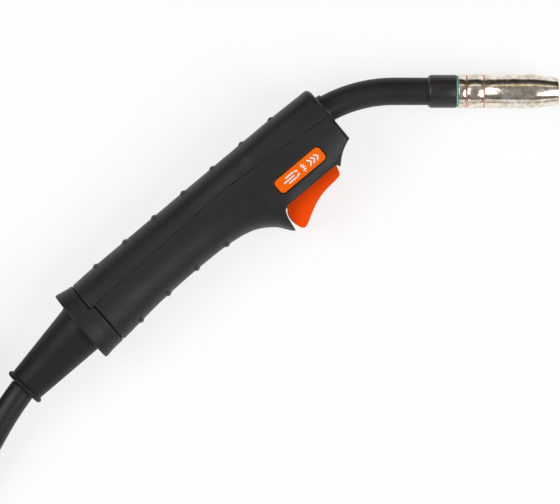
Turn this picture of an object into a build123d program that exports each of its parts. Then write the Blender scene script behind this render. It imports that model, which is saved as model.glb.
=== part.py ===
from build123d import *
import math
import os

# MIG welding torch, lying on its side. Millimetres.
# It is designed in a working frame: x along the wire at the nozzle, mouth at x = 0, y across
# the torch towards its back, z up from the torch's middle plane. At the end every piece is
# moved so that the origin is at the bottom centre of the torch without its cable.

# ---------------------------------------------------------------- driving dimensions
# gas nozzle
NOZZLE_LENGTH = 53.0
NOZZLE_DIAMETER = 18.0
NOZZLE_MOUTH_DIAMETER = 14.4
NOZZLE_TAPER_LENGTH = 12.4
NOZZLE_WALL = 1.7
NOZZLE_MOUTH_BORE = 12.0
GROOVE_PLACES = (39.5, 48.7)
GROOVE_WIDTH = 1.2
GROOVE_DEPTH = 0.35

# contact tip, tip holder and nozzle spring
TIP_DIAMETER = 8.0
TIP_NOSE_DIAMETER = 5.4
TIP_NOSE_LENGTH = 9.0
TIP_LENGTH = 37.0
TIP_RECESS = 3.0
TIP_BORE = 1.2
TIP_THREAD_DIAMETER = 6.0
TIP_THREAD_LENGTH = 7.0
HEAD_STEM_DIAMETER = 10.0
HEAD_LENGTH = 25.0
GAS_HOLE_DIAMETER = 1.5
GAS_HOLE_COUNT = 4
SPRING_WIRE = 1.3
SPRING_TURNS = 5

# swan neck
INSULATING_RING_THICKNESS = 0.8
INSULATING_RING_DIAMETER = 17.0
END_SLEEVE_LENGTH = 15.0
END_SLEEVE_DIAMETER = 17.5
END_SLEEVE_CHAMFER = 1.6
NECK_DIAMETER = 14.6
NECK_TUBE_DIAMETER = 10.0
NECK_TUBE_BORE = 7.0
LINER_DIAMETER = 4.6
LINER_BORE = 2.0
NECK_STRAIGHT = 86.9
NECK_BEND_RADIUS = 74.5
NECK_ANGLE = 40.0

# handle, in its own frame: s along the grip towards the nozzle, t towards its back
NECK_ENTRY_S = 76.3
NECK_ENTRY_T = 5.6
HANDLE_FRONT = 89.9
HANDLE_REAR_TOP = -72.4
HANDLE_REAR_BOTTOM = -69.6
REAR_WIDTH = 36.4
GRIP_WIDTH = 33.6
HEAD_WIDTH = 38.0
BACK_HEIGHT = 19.2
SIDE_LINE = 1.5
SHELL_WALL = 2.4
SHELL_SEAM = 0.15
GRIP_SECTIONS = 22
# station s, back height, underside depth, width, squareness of the section
GRIP_STATIONS = (
    (HANDLE_REAR_TOP, BACK_HEIGHT - 0.4, 20.4, REAR_WIDTH, 2.2),
    (-58.0, BACK_HEIGHT, 19.2, REAR_WIDTH - 0.8, 2.2),
    (-40.0, BACK_HEIGHT + 0.05, 17.7, GRIP_WIDTH + 0.6, 2.2),
    (-18.0, BACK_HEIGHT + 0.05, 17.0, GRIP_WIDTH, 2.2),
    (0.0, BACK_HEIGHT, 17.3, GRIP_WIDTH, 2.3),
    (12.0, BACK_HEIGHT, 18.5, GRIP_WIDTH + 0.8, 2.4),
    (22.0, BACK_HEIGHT, 21.4, GRIP_WIDTH + 2.0, 2.5),
    (30.0, BACK_HEIGHT, 26.7, HEAD_WIDTH - 1.4, 2.6),
    (37.0, BACK_HEIGHT, 34.9, HEAD_WIDTH - 0.5, 2.6),
    (43.0, BACK_HEIGHT, 37.0, HEAD_WIDTH, 2.8),
    (54.0, BACK_HEIGHT, 31.0, HEAD_WIDTH, 3.0),
    (70.0, BACK_HEIGHT - 0.1, 27.5, HEAD_WIDTH, 3.0),
    (HANDLE_FRONT, BACK_HEIGHT - 0.5, 25.0, HEAD_WIDTH - 1.6, 3.0),
)
SEAM_POINTS = ((-90.0, 2.4), (-70.0, 3.0), (-18.5, 4.6), (18.6, 5.5), (48.0, 4.1), (95.0, 0.2))
RIB_PITCH = 20.1
BACK_RIB_FIRST = -56.3
BACK_RIB_COUNT = 7
UNDER_RIB_FIRST = -56.0
UNDER_RIB_COUNT = 4
RIB_LENGTH = 2.7
RIB_HEIGHT = 0.8
RIB_SPAN = 18.0
CHIN_RADIUS = 24.9
CHIN_CENTRE = (96.1, -40.0)
CHIN_TOP = -15.74
EDGE_OVER_TRIGGER = -22.0
HORN_FRONT = ((37.1, -35.1), (37.9, -29.0), (38.8, -25.3), (40.2, -22.9), (42.5, EDGE_OVER_TRIGGER))
CHIN_POINT = (77.0, -24.1)

# neck connector and the cable's crimp inside the handle
CONNECTOR_DIAMETER = 16.0
CONNECTOR_REAR = 12.0
CONNECTOR_FRONT = 50.0
CONNECTOR_SOCKET = 10.0
CRIMP_LENGTH = 20.0
CRIMP_DIAMETER = 17.0
CRIMP_SOCKET = 8.0
SADDLE_PLACES = (28.0, 45.0)
SADDLE_THICKNESS = 2.0
SADDLE_FOOT = -6.0
JACKET_START = 56.0
FERRULE_WALL = 0.75
FERRULE_START = 84.6
FERRULE_PROUD = 1.7

# shell screws
SCREW_SHANK = 3.5
SCREW_HEAD = 6.0
SCREW_HEAD_HEIGHT = 2.4
SCREW_SOCKET = 2.8
SCREW_LENGTH = 7.0
LONG_SCREW_LENGTH = 19.0
SCREW_SINK = 0.7
SCREW_BOSS = 9.0
TOP_SCREW_S = 37.0
BOTTOM_SCREW_S = 20.0

# label plates
LABEL_BACKING = 1.8
LABEL_BACKING_EDGE = 2.5
LABEL_CENTRE = (59.0, -12.0)
LABEL_LENGTH = 30.5
LABEL_HEIGHT = 8.2
LABEL_CORNER = 2.3
LABEL_THICKNESS = 1.0
LABEL_TILT = 9.2
LABEL_DEPTH = 0.9
LABEL_RECESS_GAP = 0.35

# trigger and switch
TRIGGER_WIDTH = 17.0
TRIGGER_SIDE_GAP = 0.5
TRIGGER_PIVOT = (72.3, -18.6)
TRIGGER_PIN_DIAMETER = 3.0
TRIGGER_PIN_LENGTH = 24.6
TRIGGER_HUB_DIAMETER = 5.8
PIVOT_BOSS = (7.0, 6.4, 6.0)
PIVOT_BOSS_RISE = 0.2
TRIGGER_FACE = (
    (75.4, -22.5), (74.0, -26.7), (71.3, -27.8), (62.9, -28.6), (55.9, -30.3), (49.8, -33.1),
    (44.6, -35.9), (42.3, -36.7), (40.6, -35.9), (39.5, -33.5), (38.8, -30.5), (38.7, -28.2),
    (39.4, -25.2), (40.9, -23.2),
)
TRIGGER_TOP = -18.6
TRIGGER_ARM_TOP = -14.9
TRIGGER_ARM_LENGTH = 4.0
TRIGGER_ARM_WIDTH = 6.0
TRIGGER_POCKET = (36.4, -31.0)
WEB_REAR = 33.5
FLOOR_TOP = -19.9
SWITCH_S = 56.0
SWITCH_BEHIND = 7.0
SWITCH_LENGTH = 19.8
SWITCH_HEIGHT = 10.2
SWITCH_WIDTH = 6.4
SWITCH_BOTTOM = -12.9
PLUNGER_DIAMETER = 2.4
PLUNGER_LENGTH = 5.0
PLUNGER_GAP = 0.2
RETURN_SPRING_S = 46.0
RETURN_SPRING_DIAMETER = 4.6
RETURN_SPRING_WIRE = 0.5
RETURN_SPRING_TURNS = 5
SHELF_BOTTOM = -12.0
SHELF_THICKNESS = 1.9
LEAD_DIAMETER = 1.4

# ball joint, collar and boot
COLLAR_REAR = -83.0
COLLAR_REAR_HEIGHTS = (20.5, 21.6)
COLLAR_REAR_WIDTH = HEAD_WIDTH
COLLAR_GAP = 0.35
BALL_BEHIND = 4.0
BALL_RADIUS = 14.7
BALL_HOLLOW = 12.4
BALL_FRONT_CUT = 6.0
LINER_THICKNESS = 1.5
BALL_GAP = 0.2
BALL_LINER_BACK = -1.5
BALL_LINER_FRONT = 4.0
BALL_T = -1.1
BOOT_TILT = 5.9
BOOT_ROOT_DIAMETER = 27.8
BOOT_END_DIAMETER = 20.0
BOOT_MOUTH = 48.5
BOOT_BEAD_DIAMETER = 22.8
BOOT_BEAD_LENGTH = 2.8
SEAT_END = 7.0
SPIGOT_RADIUS = 15.7
SPIGOT_WALL = 1.3
SPIGOT_LENGTH = 1.8
BULKHEAD_THICKNESS = 3.0

# cable; heights are above the floor that the torch lies on
CABLE_DIAMETER = 14.0
CABLE_HALF_GAP = 3.0
CABLE_ROUTE = (
    (-8.4, -11.2, 18.6),
    (-21.0, -33.9, 14.6),
    (-36.8, -61.5, 9.2),
    (-62.4, -82.9, 7.0),
    (-93.6, -93.6, 7.0),
    (-119.0, -93.9, 7.0),
)
COIL_INNER_TURN = 63.0
COIL_TURNS_LOW = 3
COIL_LAYERS = 2
COIL_OFFSET = (-119.0, -2.9)
COIL_EDGE = 5.0
TAIL_ROUTE = (
    (-59.4, -59.4, 0.0),
    (-86.2, -35.3, 0.0),
    (-102.4, 1.2, 0.0),
    (-102.4, 39.2, 0.0),
)

# machine-side plug
PLUG_AXIS_HEIGHT = 21.0
PLUG_BOOT_LENGTH = 38.0
PLUG_BOOT_DIAMETER = 20.0
PLUG_BOOT_ROOT_DIAMETER = 26.0
PLUG_HOUSING_LENGTH = 66.0
PLUG_HOUSING_DIAMETER = 38.0
PLUG_NUT_DIAMETER = 42.0
PLUG_NUT_LENGTH = 26.8
PLUG_NUT_BORE = 34.0
PLUG_NUT_GROOVES = 10
PLUG_NOTCH_COUNT = 12
PLUG_NOTCH_WIDTH = 2.4
PLUG_NOTCH_DEPTH = 0.7
PLUG_CABLE_DEPTH = 20.0
NUT_OVERLAP = 8.0
PLUG_BLOCK_DIAMETER = 26.0
PLUG_BLOCK_PROUD = 5.0
PLUG_PIN_DIAMETER = 10.0
PLUG_PIN_LENGTH = 20.0
PLUG_PIN_BORE = 4.8
O_RING_FROM_TIP = 4.0
O_RING_GROOVE = 1.4
O_RING_GROOVE_DEPTH = 1.2
CONTROL_PIN_DIAMETER = 2.5
CONTROL_PIN_OFFSET = 9.0
CONTROL_PIN_PROUD = 7.0
CONTROL_PIN_ROOT = 8.0
CONTROL_SPRING_WIRE = 0.35
CONTROL_SPRING_TURNS = 6
BUSH_DIAMETER = 4.1
BUSH_LENGTH = 15.9
BUSH_DEPTH = 14.5
RUN_FIT = 0.05


# ---------------------------------------------------------------- frames and derived places
TURN = math.radians(NECK_ANGLE)
ENTRY_X = NECK_ENTRY_S * math.cos(TURN) - NECK_ENTRY_T * math.sin(TURN)
ENTRY_Y = NECK_ENTRY_S * math.sin(TURN) + NECK_ENTRY_T * math.cos(TURN)
HANDLE_X = -NECK_STRAIGHT - NECK_BEND_RADIUS * math.sin(TURN) - ENTRY_X
HANDLE_Y = -NECK_BEND_RADIUS * (1 - math.cos(TURN)) - ENTRY_Y
HANDLE = Location((HANDLE_X, HANDLE_Y, 0), (0, 0, NECK_ANGLE))
FLOOR_Z = -max(HEAD_WIDTH, COLLAR_REAR_WIDTH) / 2
BALL_S = COLLAR_REAR + BALL_BEHIND


def in_row_plane(s, t):
    """A place in the handle's frame, as x and y of the working frame."""
    x = HANDLE_X + s * math.cos(TURN) - t * math.sin(TURN)
    y = HANDLE_Y + s * math.sin(TURN) + t * math.cos(TURN)
    return x, y


BALL_X, BALL_Y = in_row_plane(BALL_S, BALL_T)
BOOT_HEADING = 180 + NECK_ANGLE + BOOT_TILT
BOOT = Location((BALL_X, BALL_Y, 0), (0, 0, BOOT_HEADING))
BOOT_START = math.sqrt(BALL_RADIUS**2 - (BOOT_ROOT_DIAMETER / 2) ** 2)
EXIT_X = BALL_X + BOOT_MOUTH * math.cos(math.radians(BOOT_HEADING))
EXIT_Y = BALL_Y + BOOT_MOUTH * math.sin(math.radians(BOOT_HEADING))


# ---------------------------------------------------------------- small helpers
# reach of a cutting tool that only has to clear the handle
FAR = 40.0


def turned(points, axis=Axis.X):
    """A solid of revolution from its half profile."""
    return revolve(make_face(Polyline(*points, close=True)), axis)


def rod(radius, start, end, y=0, z=0):
    """A cylinder along x."""
    return Pos(start, y, z) * Rot(0, 90, 0) * Cylinder(
        radius, end - start, align=(Align.CENTER, Align.CENTER, Align.MIN)
    )


def upright(radius, x, start, end, z=0):
    """A cylinder along y."""
    return Pos(x, start, z) * Rot(-90, 0, 0) * Cylinder(
        radius, end - start, align=(Align.CENTER, Align.CENTER, Align.MIN)
    )


def block(x0, x1, y0, y1, half_z):
    """A box that is symmetric about z = 0."""
    return Pos((x0 + x1) / 2, (y0 + y1) / 2, 0) * Box(x1 - x0, y1 - y0, 2 * half_z)


def pipe(path, radius, bore=0.0):
    """A round bar or tube along a path."""
    start = Plane(origin=path @ 0, z_dir=path % 0)
    section = Circle(radius)
    if bore:
        section = section - Circle(bore)
    return sweep(start * section, path=path)


def neck_line(start_x, end_s):
    """The neck's centre line in the working frame, from the nozzle side into the handle."""
    bend_end = in_row_plane(NECK_ENTRY_S, NECK_ENTRY_T)
    inner = in_row_plane(end_s, NECK_ENTRY_T)
    front = Line((start_x, 0), (-NECK_STRAIGHT, 0))
    bend = CenterArc((-NECK_STRAIGHT, -NECK_BEND_RADIUS), NECK_BEND_RADIUS, 90, NECK_ANGLE)
    back = Line(bend_end, inner)
    return Wire([front.edge(), bend.edge(), back.edge()])


def corner_radii(points):
    """The largest arc that the two runs beside each corner allow."""
    radii = []
    for before, here, after in zip(points, points[1:], points[2:]):
        run_in = Vector(*here) - Vector(*before)
        run_out = Vector(*after) - Vector(*here)
        half_turn = math.radians(run_in.get_angle(run_out)) / 2
        radii.append(0.45 * min(run_in.length, run_out.length) / math.tan(half_turn))
    return radii


def cord(points, diameter, name):
    """A tube of straight runs joined by tangent arcs; its arcs are printed."""
    radii = corner_radii(points)
    path = FilletPolyline(*points, radius=radii)
    solid = pipe(path, diameter / 2)
    expected = math.pi * diameter**2 / 4 * path.length
    print(name, "radii", [round(r, 1) for r in radii], "length", round(path.length, 1),
          "volume share", round(solid.volume / expected, 4))
    return solid


# ---------------------------------------------------------------- nozzle end
def gas_nozzle():
    rear = -NOZZLE_LENGTH
    outer = NOZZLE_DIAMETER / 2
    bore = outer - NOZZLE_WALL
    mouth = NOZZLE_MOUTH_BORE / 2
    body = turned((
        (rear, bore), (rear, outer - 0.3), (rear + 0.3, outer), (-NOZZLE_TAPER_LENGTH, outer),
        (-0.3, NOZZLE_MOUTH_DIAMETER / 2 + 0.1), (0, NOZZLE_MOUTH_DIAMETER / 2 - 0.2),
        (0, mouth), (-NOZZLE_TAPER_LENGTH, mouth), (-NOZZLE_TAPER_LENGTH * 2.4, bore),
    ))
    for place in GROOVE_PLACES:
        cut = rod(outer + 1, -place - GROOVE_WIDTH / 2, -place + GROOVE_WIDTH / 2)
        cut -= rod(outer - GROOVE_DEPTH, -place - GROOVE_WIDTH, -place + GROOVE_WIDTH)
        body -= cut
    return body


def contact_tip():
    nose = -TIP_RECESS
    rear = nose - TIP_LENGTH
    body = turned((
        (rear, 0), (rear, TIP_DIAMETER / 2), (nose - TIP_NOSE_LENGTH, TIP_DIAMETER / 2),
        (nose, TIP_NOSE_DIAMETER / 2), (nose, 0),
    ))
    body += rod(TIP_THREAD_DIAMETER / 2, rear - TIP_THREAD_LENGTH, rear + 0.5)
    return body - rod(TIP_BORE / 2, rear - TIP_THREAD_LENGTH - 1, nose + 1)


def neck_head():
    """Tip holder and gas diffuser: its stem carries the insulating ring and the spring."""
    front = -TIP_RECESS - TIP_LENGTH
    rear = front - HEAD_LENGTH
    body = rod(HEAD_STEM_DIAMETER / 2, rear, front)
    body -= rod(TIP_THREAD_DIAMETER / 2 + RUN_FIT, front - TIP_THREAD_LENGTH - 0.5, front + 1)
    body -= rod(LINER_DIAMETER / 2 + RUN_FIT, rear - 1, front - TIP_THREAD_LENGTH - 1.5)
    body -= rod(TIP_BORE, rear, front)
    hole_x = front - 1.6
    for number in range(GAS_HOLE_COUNT):
        hole = Pos(hole_x, 0, 0) * Rot(360 / GAS_HOLE_COUNT * number + 45, 0, 0) * Cylinder(
            GAS_HOLE_DIAMETER / 2, HEAD_STEM_DIAMETER
        )
        body -= hole
    return body


def spring(wire, mean_radius, turns, pitch, place):
    """An open coil spring along z of its own frame, put in place."""
    line = Helix(pitch, pitch * turns, mean_radius)
    start = Plane(origin=line @ 0, z_dir=line % 0)
    return place * sweep(start * Circle(wire / 2), path=line, is_frenet=True)


def nozzle_spring():
    bore = NOZZLE_DIAMETER / 2 - NOZZLE_WALL
    mean = bore - SPRING_WIRE / 2 - 0.08
    start = -NOZZLE_LENGTH + SPRING_WIRE
    place = Location((start, 0, 0), (0, 90, 0))
    return spring(SPRING_WIRE, mean, SPRING_TURNS, SPRING_WIRE * 1.35, place)


def insulating_ring():
    back = -NOZZLE_LENGTH - 0.15 - INSULATING_RING_THICKNESS
    ring = rod(INSULATING_RING_DIAMETER / 2, back, back + INSULATING_RING_THICKNESS)
    return ring - rod(HEAD_STEM_DIAMETER / 2 + RUN_FIT, back - 1, 0)


SLEEVE_FRONT = -NOZZLE_LENGTH - 0.3 - INSULATING_RING_THICKNESS
SLEEVE_REAR = SLEEVE_FRONT - END_SLEEVE_LENGTH
TUBE_FRONT = -TIP_RECESS - TIP_LENGTH - HEAD_LENGTH
JACKET_FRONT = SLEEVE_FRONT - 5.0


def neck_end_sleeve():
    outer = END_SLEEVE_DIAMETER / 2
    body = turned((
        (SLEEVE_REAR, NECK_DIAMETER / 2 + RUN_FIT),
        (SLEEVE_REAR, outer - END_SLEEVE_CHAMFER * 0.5),
        (SLEEVE_REAR + END_SLEEVE_CHAMFER, outer), (SLEEVE_FRONT - 0.5, outer),
        (SLEEVE_FRONT, outer - 0.5), (SLEEVE_FRONT, HEAD_STEM_DIAMETER / 2 + RUN_FIT),
        (JACKET_FRONT, HEAD_STEM_DIAMETER / 2 + RUN_FIT), (JACKET_FRONT, NECK_DIAMETER / 2 + RUN_FIT),
    ))
    return body


def neck_conductor_tube():
    return pipe(neck_line(TUBE_FRONT, CONNECTOR_FRONT - CONNECTOR_SOCKET),
                NECK_TUBE_DIAMETER / 2, NECK_TUBE_BORE / 2)


def neck_insulation():
    return pipe(neck_line(JACKET_FRONT, JACKET_START),
                NECK_DIAMETER / 2, NECK_TUBE_DIAMETER / 2 + RUN_FIT)


def wire_liner():
    front = -TIP_RECESS - TIP_LENGTH - TIP_THREAD_LENGTH - 2.0
    return pipe(neck_line(front, CONNECTOR_REAR + 2), LINER_DIAMETER / 2, LINER_BORE / 2)


# ---------------------------------------------------------------- handle shells
def section(s, back, under, width, squareness, inset=0.0):
    """A rounded section across the handle; its two halves meet at the side line."""
    half = width / 2 - inset
    count = 24
    points = []
    for step in range(count):
        angle = 2 * math.pi * (step + 0.5) / count
        across = math.cos(angle)
        along = math.sin(angle)
        height = (back - SIDE_LINE if along > 0 else under + SIDE_LINE) - inset
        z = half * math.copysign(abs(across) ** (2 / squareness), across)
        t = SIDE_LINE + height * math.copysign(abs(along) ** (2 / squareness), along)
        points.append((s, t, z))
    return make_face(Spline(*points, periodic=True))


def grip_at(s):
    """The station at s, smooth between the stations given above, with no overshoot."""
    stations = GRIP_STATIONS
    s = min(max(s, stations[0][0]), stations[-1][0])
    here = max(n for n in range(len(stations) - 1) if stations[n][0] <= s)
    low, high = stations[here], stations[here + 1]
    run = high[0] - low[0]
    share = (s - low[0]) / run
    values = [s]
    for part in range(1, len(low)):
        start_slope = limited_slope(here, part) * run
        end_slope = limited_slope(here + 1, part) * run
        values.append(
            low[part] * (1 + 2 * share) * (1 - share) ** 2 + start_slope * share * (1 - share) ** 2
            + high[part] * share**2 * (3 - 2 * share) + end_slope * share**2 * (share - 1)
        )
    return values


def limited_slope(number, part):
    """Slope of one station value, zero at a peak, so that the shape never swings past a station."""
    stations = GRIP_STATIONS
    if number in (0, len(stations) - 1):
        return 0.0
    before, here, after = stations[number - 1], stations[number], stations[number + 1]
    slope_in = (here[part] - before[part]) / (here[0] - before[0])
    slope_out = (after[part] - here[part]) / (after[0] - here[0])
    if slope_in * slope_out <= 0:
        return 0.0
    return 2 * slope_in * slope_out / (slope_in + slope_out)


def grip_solid(inset=0.0, front_inset=0.0, rear_extra=0.0):
    """The handle's outer body, or with an inset the hollow inside its wall."""
    start = GRIP_STATIONS[0][0] - rear_extra
    end = GRIP_STATIONS[-1][0] - front_inset
    return grip_slice(start, end, GRIP_SECTIONS, inset)


def grip_slice(start, end, count, inset):
    """Part of the handle's body between two places along it."""
    sections = []
    for step in range(count):
        s = start + (end - start) * step / (count - 1)
        sections.append(section(s, *grip_at(s)[1:], inset))
    return loft(sections, ruled=True)


def seam_side(above, gap):
    """Everything on one side of the seam, as a tool to cut with."""
    shift = gap if above else -gap
    edge = Spline(*((s, t + shift) for s, t in SEAM_POINTS))
    first = SEAM_POINTS[0][0]
    last = SEAM_POINTS[-1][0]
    far = 60.0 if above else -60.0
    border = Polyline(edge @ 1, (last, far), (first, far), edge @ 0)
    return extrude(make_face([edge, *border.edges()]), 40, both=True)


def opening_tool():
    """What the trigger's opening and the hollow under the chin take from the handle."""
    tip_s, tip_t = HORN_FRONT[0]
    centre_s, centre_t = CHIN_CENTRE
    top_angle = math.degrees(math.atan2(CHIN_TOP - centre_t, HANDLE_FRONT + 0.6 - centre_s))
    low_angle = math.degrees(math.atan2(CHIN_POINT[1] - centre_t, CHIN_POINT[0] - centre_s))
    arc = CenterArc(CHIN_CENTRE, CHIN_RADIUS, low_angle % 360, top_angle - low_angle % 360)
    points = ((tip_s - 0.4, -60.0), *HORN_FRONT, (CHIN_POINT[0] - 1.0, EDGE_OVER_TRIGGER), arc @ 0)
    low = Polyline(*points)
    rest = Polyline(arc @ 1, (110.0, (arc @ 1).Y), (110.0, -60.0), points[0])
    return extrude(make_face([*low.edges(), arc.edge(), *rest.edges()]), 40, both=True)


def label_plane(side, depth):
    """The plane of a label plate; side is 1 on the upper side and -1 on the lower."""
    middle = HEAD_WIDTH / 2 - LABEL_DEPTH
    lean = math.radians(LABEL_TILT)
    normal = Vector(0, -math.sin(lean), side * math.cos(lean))
    origin = Vector(LABEL_CENTRE[0], LABEL_CENTRE[1], side * middle) - normal * depth
    return Plane(origin=origin, x_dir=(1, 0, 0), z_dir=normal)


def label_plate(side):
    outline = RectangleRounded(LABEL_LENGTH, LABEL_HEIGHT, LABEL_CORNER)
    return HANDLE * extrude(label_plane(side, LABEL_THICKNESS) * outline, LABEL_THICKNESS)


def label_recess(side):
    gap = LABEL_RECESS_GAP
    outline = RectangleRounded(LABEL_LENGTH + 2 * gap, LABEL_HEIGHT + 2 * gap, LABEL_CORNER + gap)
    return extrude(label_plane(side, LABEL_THICKNESS) * outline, FAR)


def label_backing(side):
    """Thicker wall behind a label's recess."""
    edge = 2 * LABEL_BACKING_EDGE
    outline = RectangleRounded(LABEL_LENGTH + edge, LABEL_HEIGHT + edge, LABEL_CORNER)
    return extrude(label_plane(side, LABEL_THICKNESS + LABEL_BACKING) * outline, FAR)


def saddle(s):
    """A plate across the handle that the neck connector rests in."""
    half = SADDLE_THICKNESS / 2
    plate = block(s - half, s + half, SADDLE_FOOT, 40, 40)
    return plate - rod(CONNECTOR_DIAMETER / 2 + RUN_FIT, s - 5, s + 5, NECK_ENTRY_T)


def screw_boss(s, above):
    """A pillar from the wall to the connector."""
    reach = CONNECTOR_DIAMETER / 2 + 0.1
    if above:
        return upright(SCREW_BOSS / 2, s, NECK_ENTRY_T + reach, 40)
    return upright(SCREW_BOSS / 2, s, -40, NECK_ENTRY_T - reach)


TOP_SCREW_SEAT = BACK_HEIGHT - SCREW_SINK - SCREW_HEAD_HEIGHT
BOTTOM_SCREW_SEAT = -20.4 + SCREW_SINK + SCREW_HEAD_HEIGHT


def screw_hole(s, above):
    head = SCREW_HEAD / 2 + 0.2
    shank = SCREW_SHANK / 2 + RUN_FIT
    if above:
        return upright(head, s, TOP_SCREW_SEAT, 40) + upright(shank, s, 0, TOP_SCREW_SEAT + 1)
    return upright(head, s, -40, BOTTOM_SCREW_SEAT) + upright(shank, s, BOTTOM_SCREW_SEAT - 1, 4)


def pivot_boss(side):
    s, t = TRIGGER_PIVOT
    inner = TRIGGER_WIDTH / 2 + TRIGGER_SIDE_GAP
    length, height, depth = PIVOT_BOSS
    return Pos(s, t + PIVOT_BOSS_RISE, side * (inner + depth / 2)) * Box(length, height, depth)


def kept_inside():
    """Material that stands inside the shells: saddles, bosses, shelf, web and floor."""
    kept = [saddle(s) for s in SADDLE_PLACES]
    kept.append(screw_boss(TOP_SCREW_S, True))
    kept.append(screw_boss(BOTTOM_SCREW_S, False))
    kept.extend(pivot_boss(side) for side in (1, -1))
    kept.extend(label_backing(side) for side in (1, -1))
    kept.append(block(WEB_REAR, 120, -60, FLOOR_TOP, 40))
    half = RETURN_SPRING_DIAMETER / 2 + 0.6
    shelf_top = SHELF_BOTTOM + SHELF_THICKNESS
    kept.append(block(RETURN_SPRING_S - half, RETURN_SPRING_S + half, SHELF_BOTTOM, shelf_top, 40))
    bulkhead = rod(60, HANDLE_REAR_BOTTOM, HANDLE_REAR_BOTTOM + BULKHEAD_THICKNESS)
    kept.append(bulkhead - rod(SPIGOT_RADIUS - SPIGOT_WALL, -100, 0, BALL_T))
    return kept


def ribs():
    """Small cross ribs on the back and on the underside."""
    half = RIB_LENGTH / 2
    found = []
    for number in range(BACK_RIB_COUNT):
        s = BACK_RIB_FIRST + RIB_PITCH * number
        rib = grip_slice(s - half, s + half, 2, -RIB_HEIGHT)
        found.append(rib & block(s - FAR, s + FAR, 8, FAR, RIB_SPAN / 2))
    for number in range(UNDER_RIB_COUNT):
        s = UNDER_RIB_FIRST + RIB_PITCH * number
        rib = grip_slice(s - half, s + half, 2, -RIB_HEIGHT)
        found.append(rib & block(s - FAR, s + FAR, -FAR, -8, RIB_SPAN / 2))
    return found


def front_hole():
    """The round hole that the neck's ferrule fills; it follows the neck's tilt."""
    return neck_ring(NECK_DIAMETER / 2 + FERRULE_WALL + RUN_FIT, FERRULE_START - 20, HANDLE_FRONT + 20)


def neck_ring(radius, start, end):
    """A cylinder in line with the neck where it crosses the handle's front."""
    middle = (FERRULE_START + HANDLE_FRONT) / 2
    lean = math.degrees(math.asin((middle - NECK_ENTRY_S) / NECK_BEND_RADIUS))
    drop = NECK_BEND_RADIUS * (1 - math.cos(math.radians(lean)))
    place = Location((middle, NECK_ENTRY_T - drop, 0), (0, 0, -lean))
    return place * rod(radius, start - middle, end - middle)


def handle_body():
    body = grip_solid()
    for rib in ribs():
        body += rib
    hollow = grip_solid(SHELL_WALL, SHELL_WALL, 10.0)
    for piece in kept_inside():
        hollow -= piece
    body -= hollow
    inner = SPIGOT_RADIUS - SPIGOT_WALL
    body += rod(SPIGOT_RADIUS, HANDLE_REAR_BOTTOM - SPIGOT_LENGTH, HANDLE_REAR_BOTTOM + 1, BALL_T)
    body -= rod(inner, HANDLE_REAR_TOP - 20, HANDLE_REAR_BOTTOM + BULKHEAD_THICKNESS + 0.5, BALL_T)
    body -= opening_tool()
    body -= block(TRIGGER_POCKET[0], CHIN_POINT[0] - 0.6, TRIGGER_POCKET[1], FLOOR_TOP + 0.5,
                  TRIGGER_WIDTH / 2 + TRIGGER_SIDE_GAP)
    body -= front_hole()
    body -= screw_hole(TOP_SCREW_S, True)
    body -= screw_hole(BOTTOM_SCREW_S, False)
    for side in (1, -1):
        body -= label_recess(side)
    s, t = TRIGGER_PIVOT
    body -= Pos(s, t, 0) * Cylinder(TRIGGER_PIN_DIAMETER / 2 + 0.02, TRIGGER_PIN_LENGTH + 0.4)
    return body


def rear_cut(above):
    """What each shell leaves free for the collar behind it."""
    end = HANDLE_REAR_TOP if above else HANDLE_REAR_BOTTOM
    return rod(60, end - 40, end) - rod(SPIGOT_RADIUS + 0.01, end - 60, end + 20, BALL_T)


def handle_shell(body, above):
    shell = body & seam_side(above, SHELL_SEAM / 2)
    shell -= rear_cut(above)
    return HANDLE * shell


# ---------------------------------------------------------------- rear collar and ball joint
def collar_outline(s, heights, width):
    return section(s, heights[0], heights[1], width, 2.2)


def ball_place():
    return Pos(BALL_S, BALL_T, 0)


def rear_collar():
    first = GRIP_STATIONS[0]
    front = HANDLE_REAR_BOTTOM - COLLAR_GAP
    body = loft([
        collar_outline(COLLAR_REAR, COLLAR_REAR_HEIGHTS, COLLAR_REAR_WIDTH),
        collar_outline(-78.0, (19.6, 20.9), COLLAR_REAR_WIDTH - 0.7),
        collar_outline(front, (first[1], first[2] - 0.1), first[3]),
    ])
    step = rod(60, HANDLE_REAR_TOP - COLLAR_GAP, front + 10)
    body -= step & seam_side(True, -0.2)
    body -= ball_place() * Sphere(BALL_RADIUS + LINER_THICKNESS + 2 * BALL_GAP)
    body -= rod(SPIGOT_RADIUS + RUN_FIT, BALL_S + SEAT_END - 2, front + 5, BALL_T)
    return HANDLE * body


def ball_joint_liner():
    inner = BALL_RADIUS + BALL_GAP
    body = Sphere(inner + LINER_THICKNESS) - Sphere(inner)
    body &= rod(60, BALL_LINER_BACK, BALL_LINER_FRONT)
    return HANDLE * (ball_place() * body)


def cable_boot():
    """Along its own x from the ball's centre: ball, cone and the bead at its mouth."""
    end = BOOT_MOUTH
    root = BOOT_ROOT_DIAMETER / 2
    tip = BOOT_END_DIAMETER / 2
    bead = ThreePointArc(
        (end - BOOT_BEAD_LENGTH, tip), (end - BOOT_BEAD_LENGTH / 2, BOOT_BEAD_DIAMETER / 2), (end, tip)
    )
    outline = Polyline(
        (end, tip), (end, 0), (BOOT_START, 0), (BOOT_START, root), (end - BOOT_BEAD_LENGTH, tip)
    )
    cone = revolve(make_face(outline + bead), Axis.X)
    ball = Sphere(BALL_RADIUS) - rod(60, -60, -BALL_FRONT_CUT) - rod(60, BOOT_START, 60)
    body = ball + cone
    hollow = Sphere(BALL_HOLLOW) - rod(60, BOOT_START - 1.5, 60)
    return BOOT * (body - hollow - rod(CABLE_DIAMETER / 2 + RUN_FIT, -60, 90))


def cable_in_boot():
    return BOOT * rod(CABLE_DIAMETER / 2, CABLE_HALF_GAP, BOOT_MOUTH)


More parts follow.
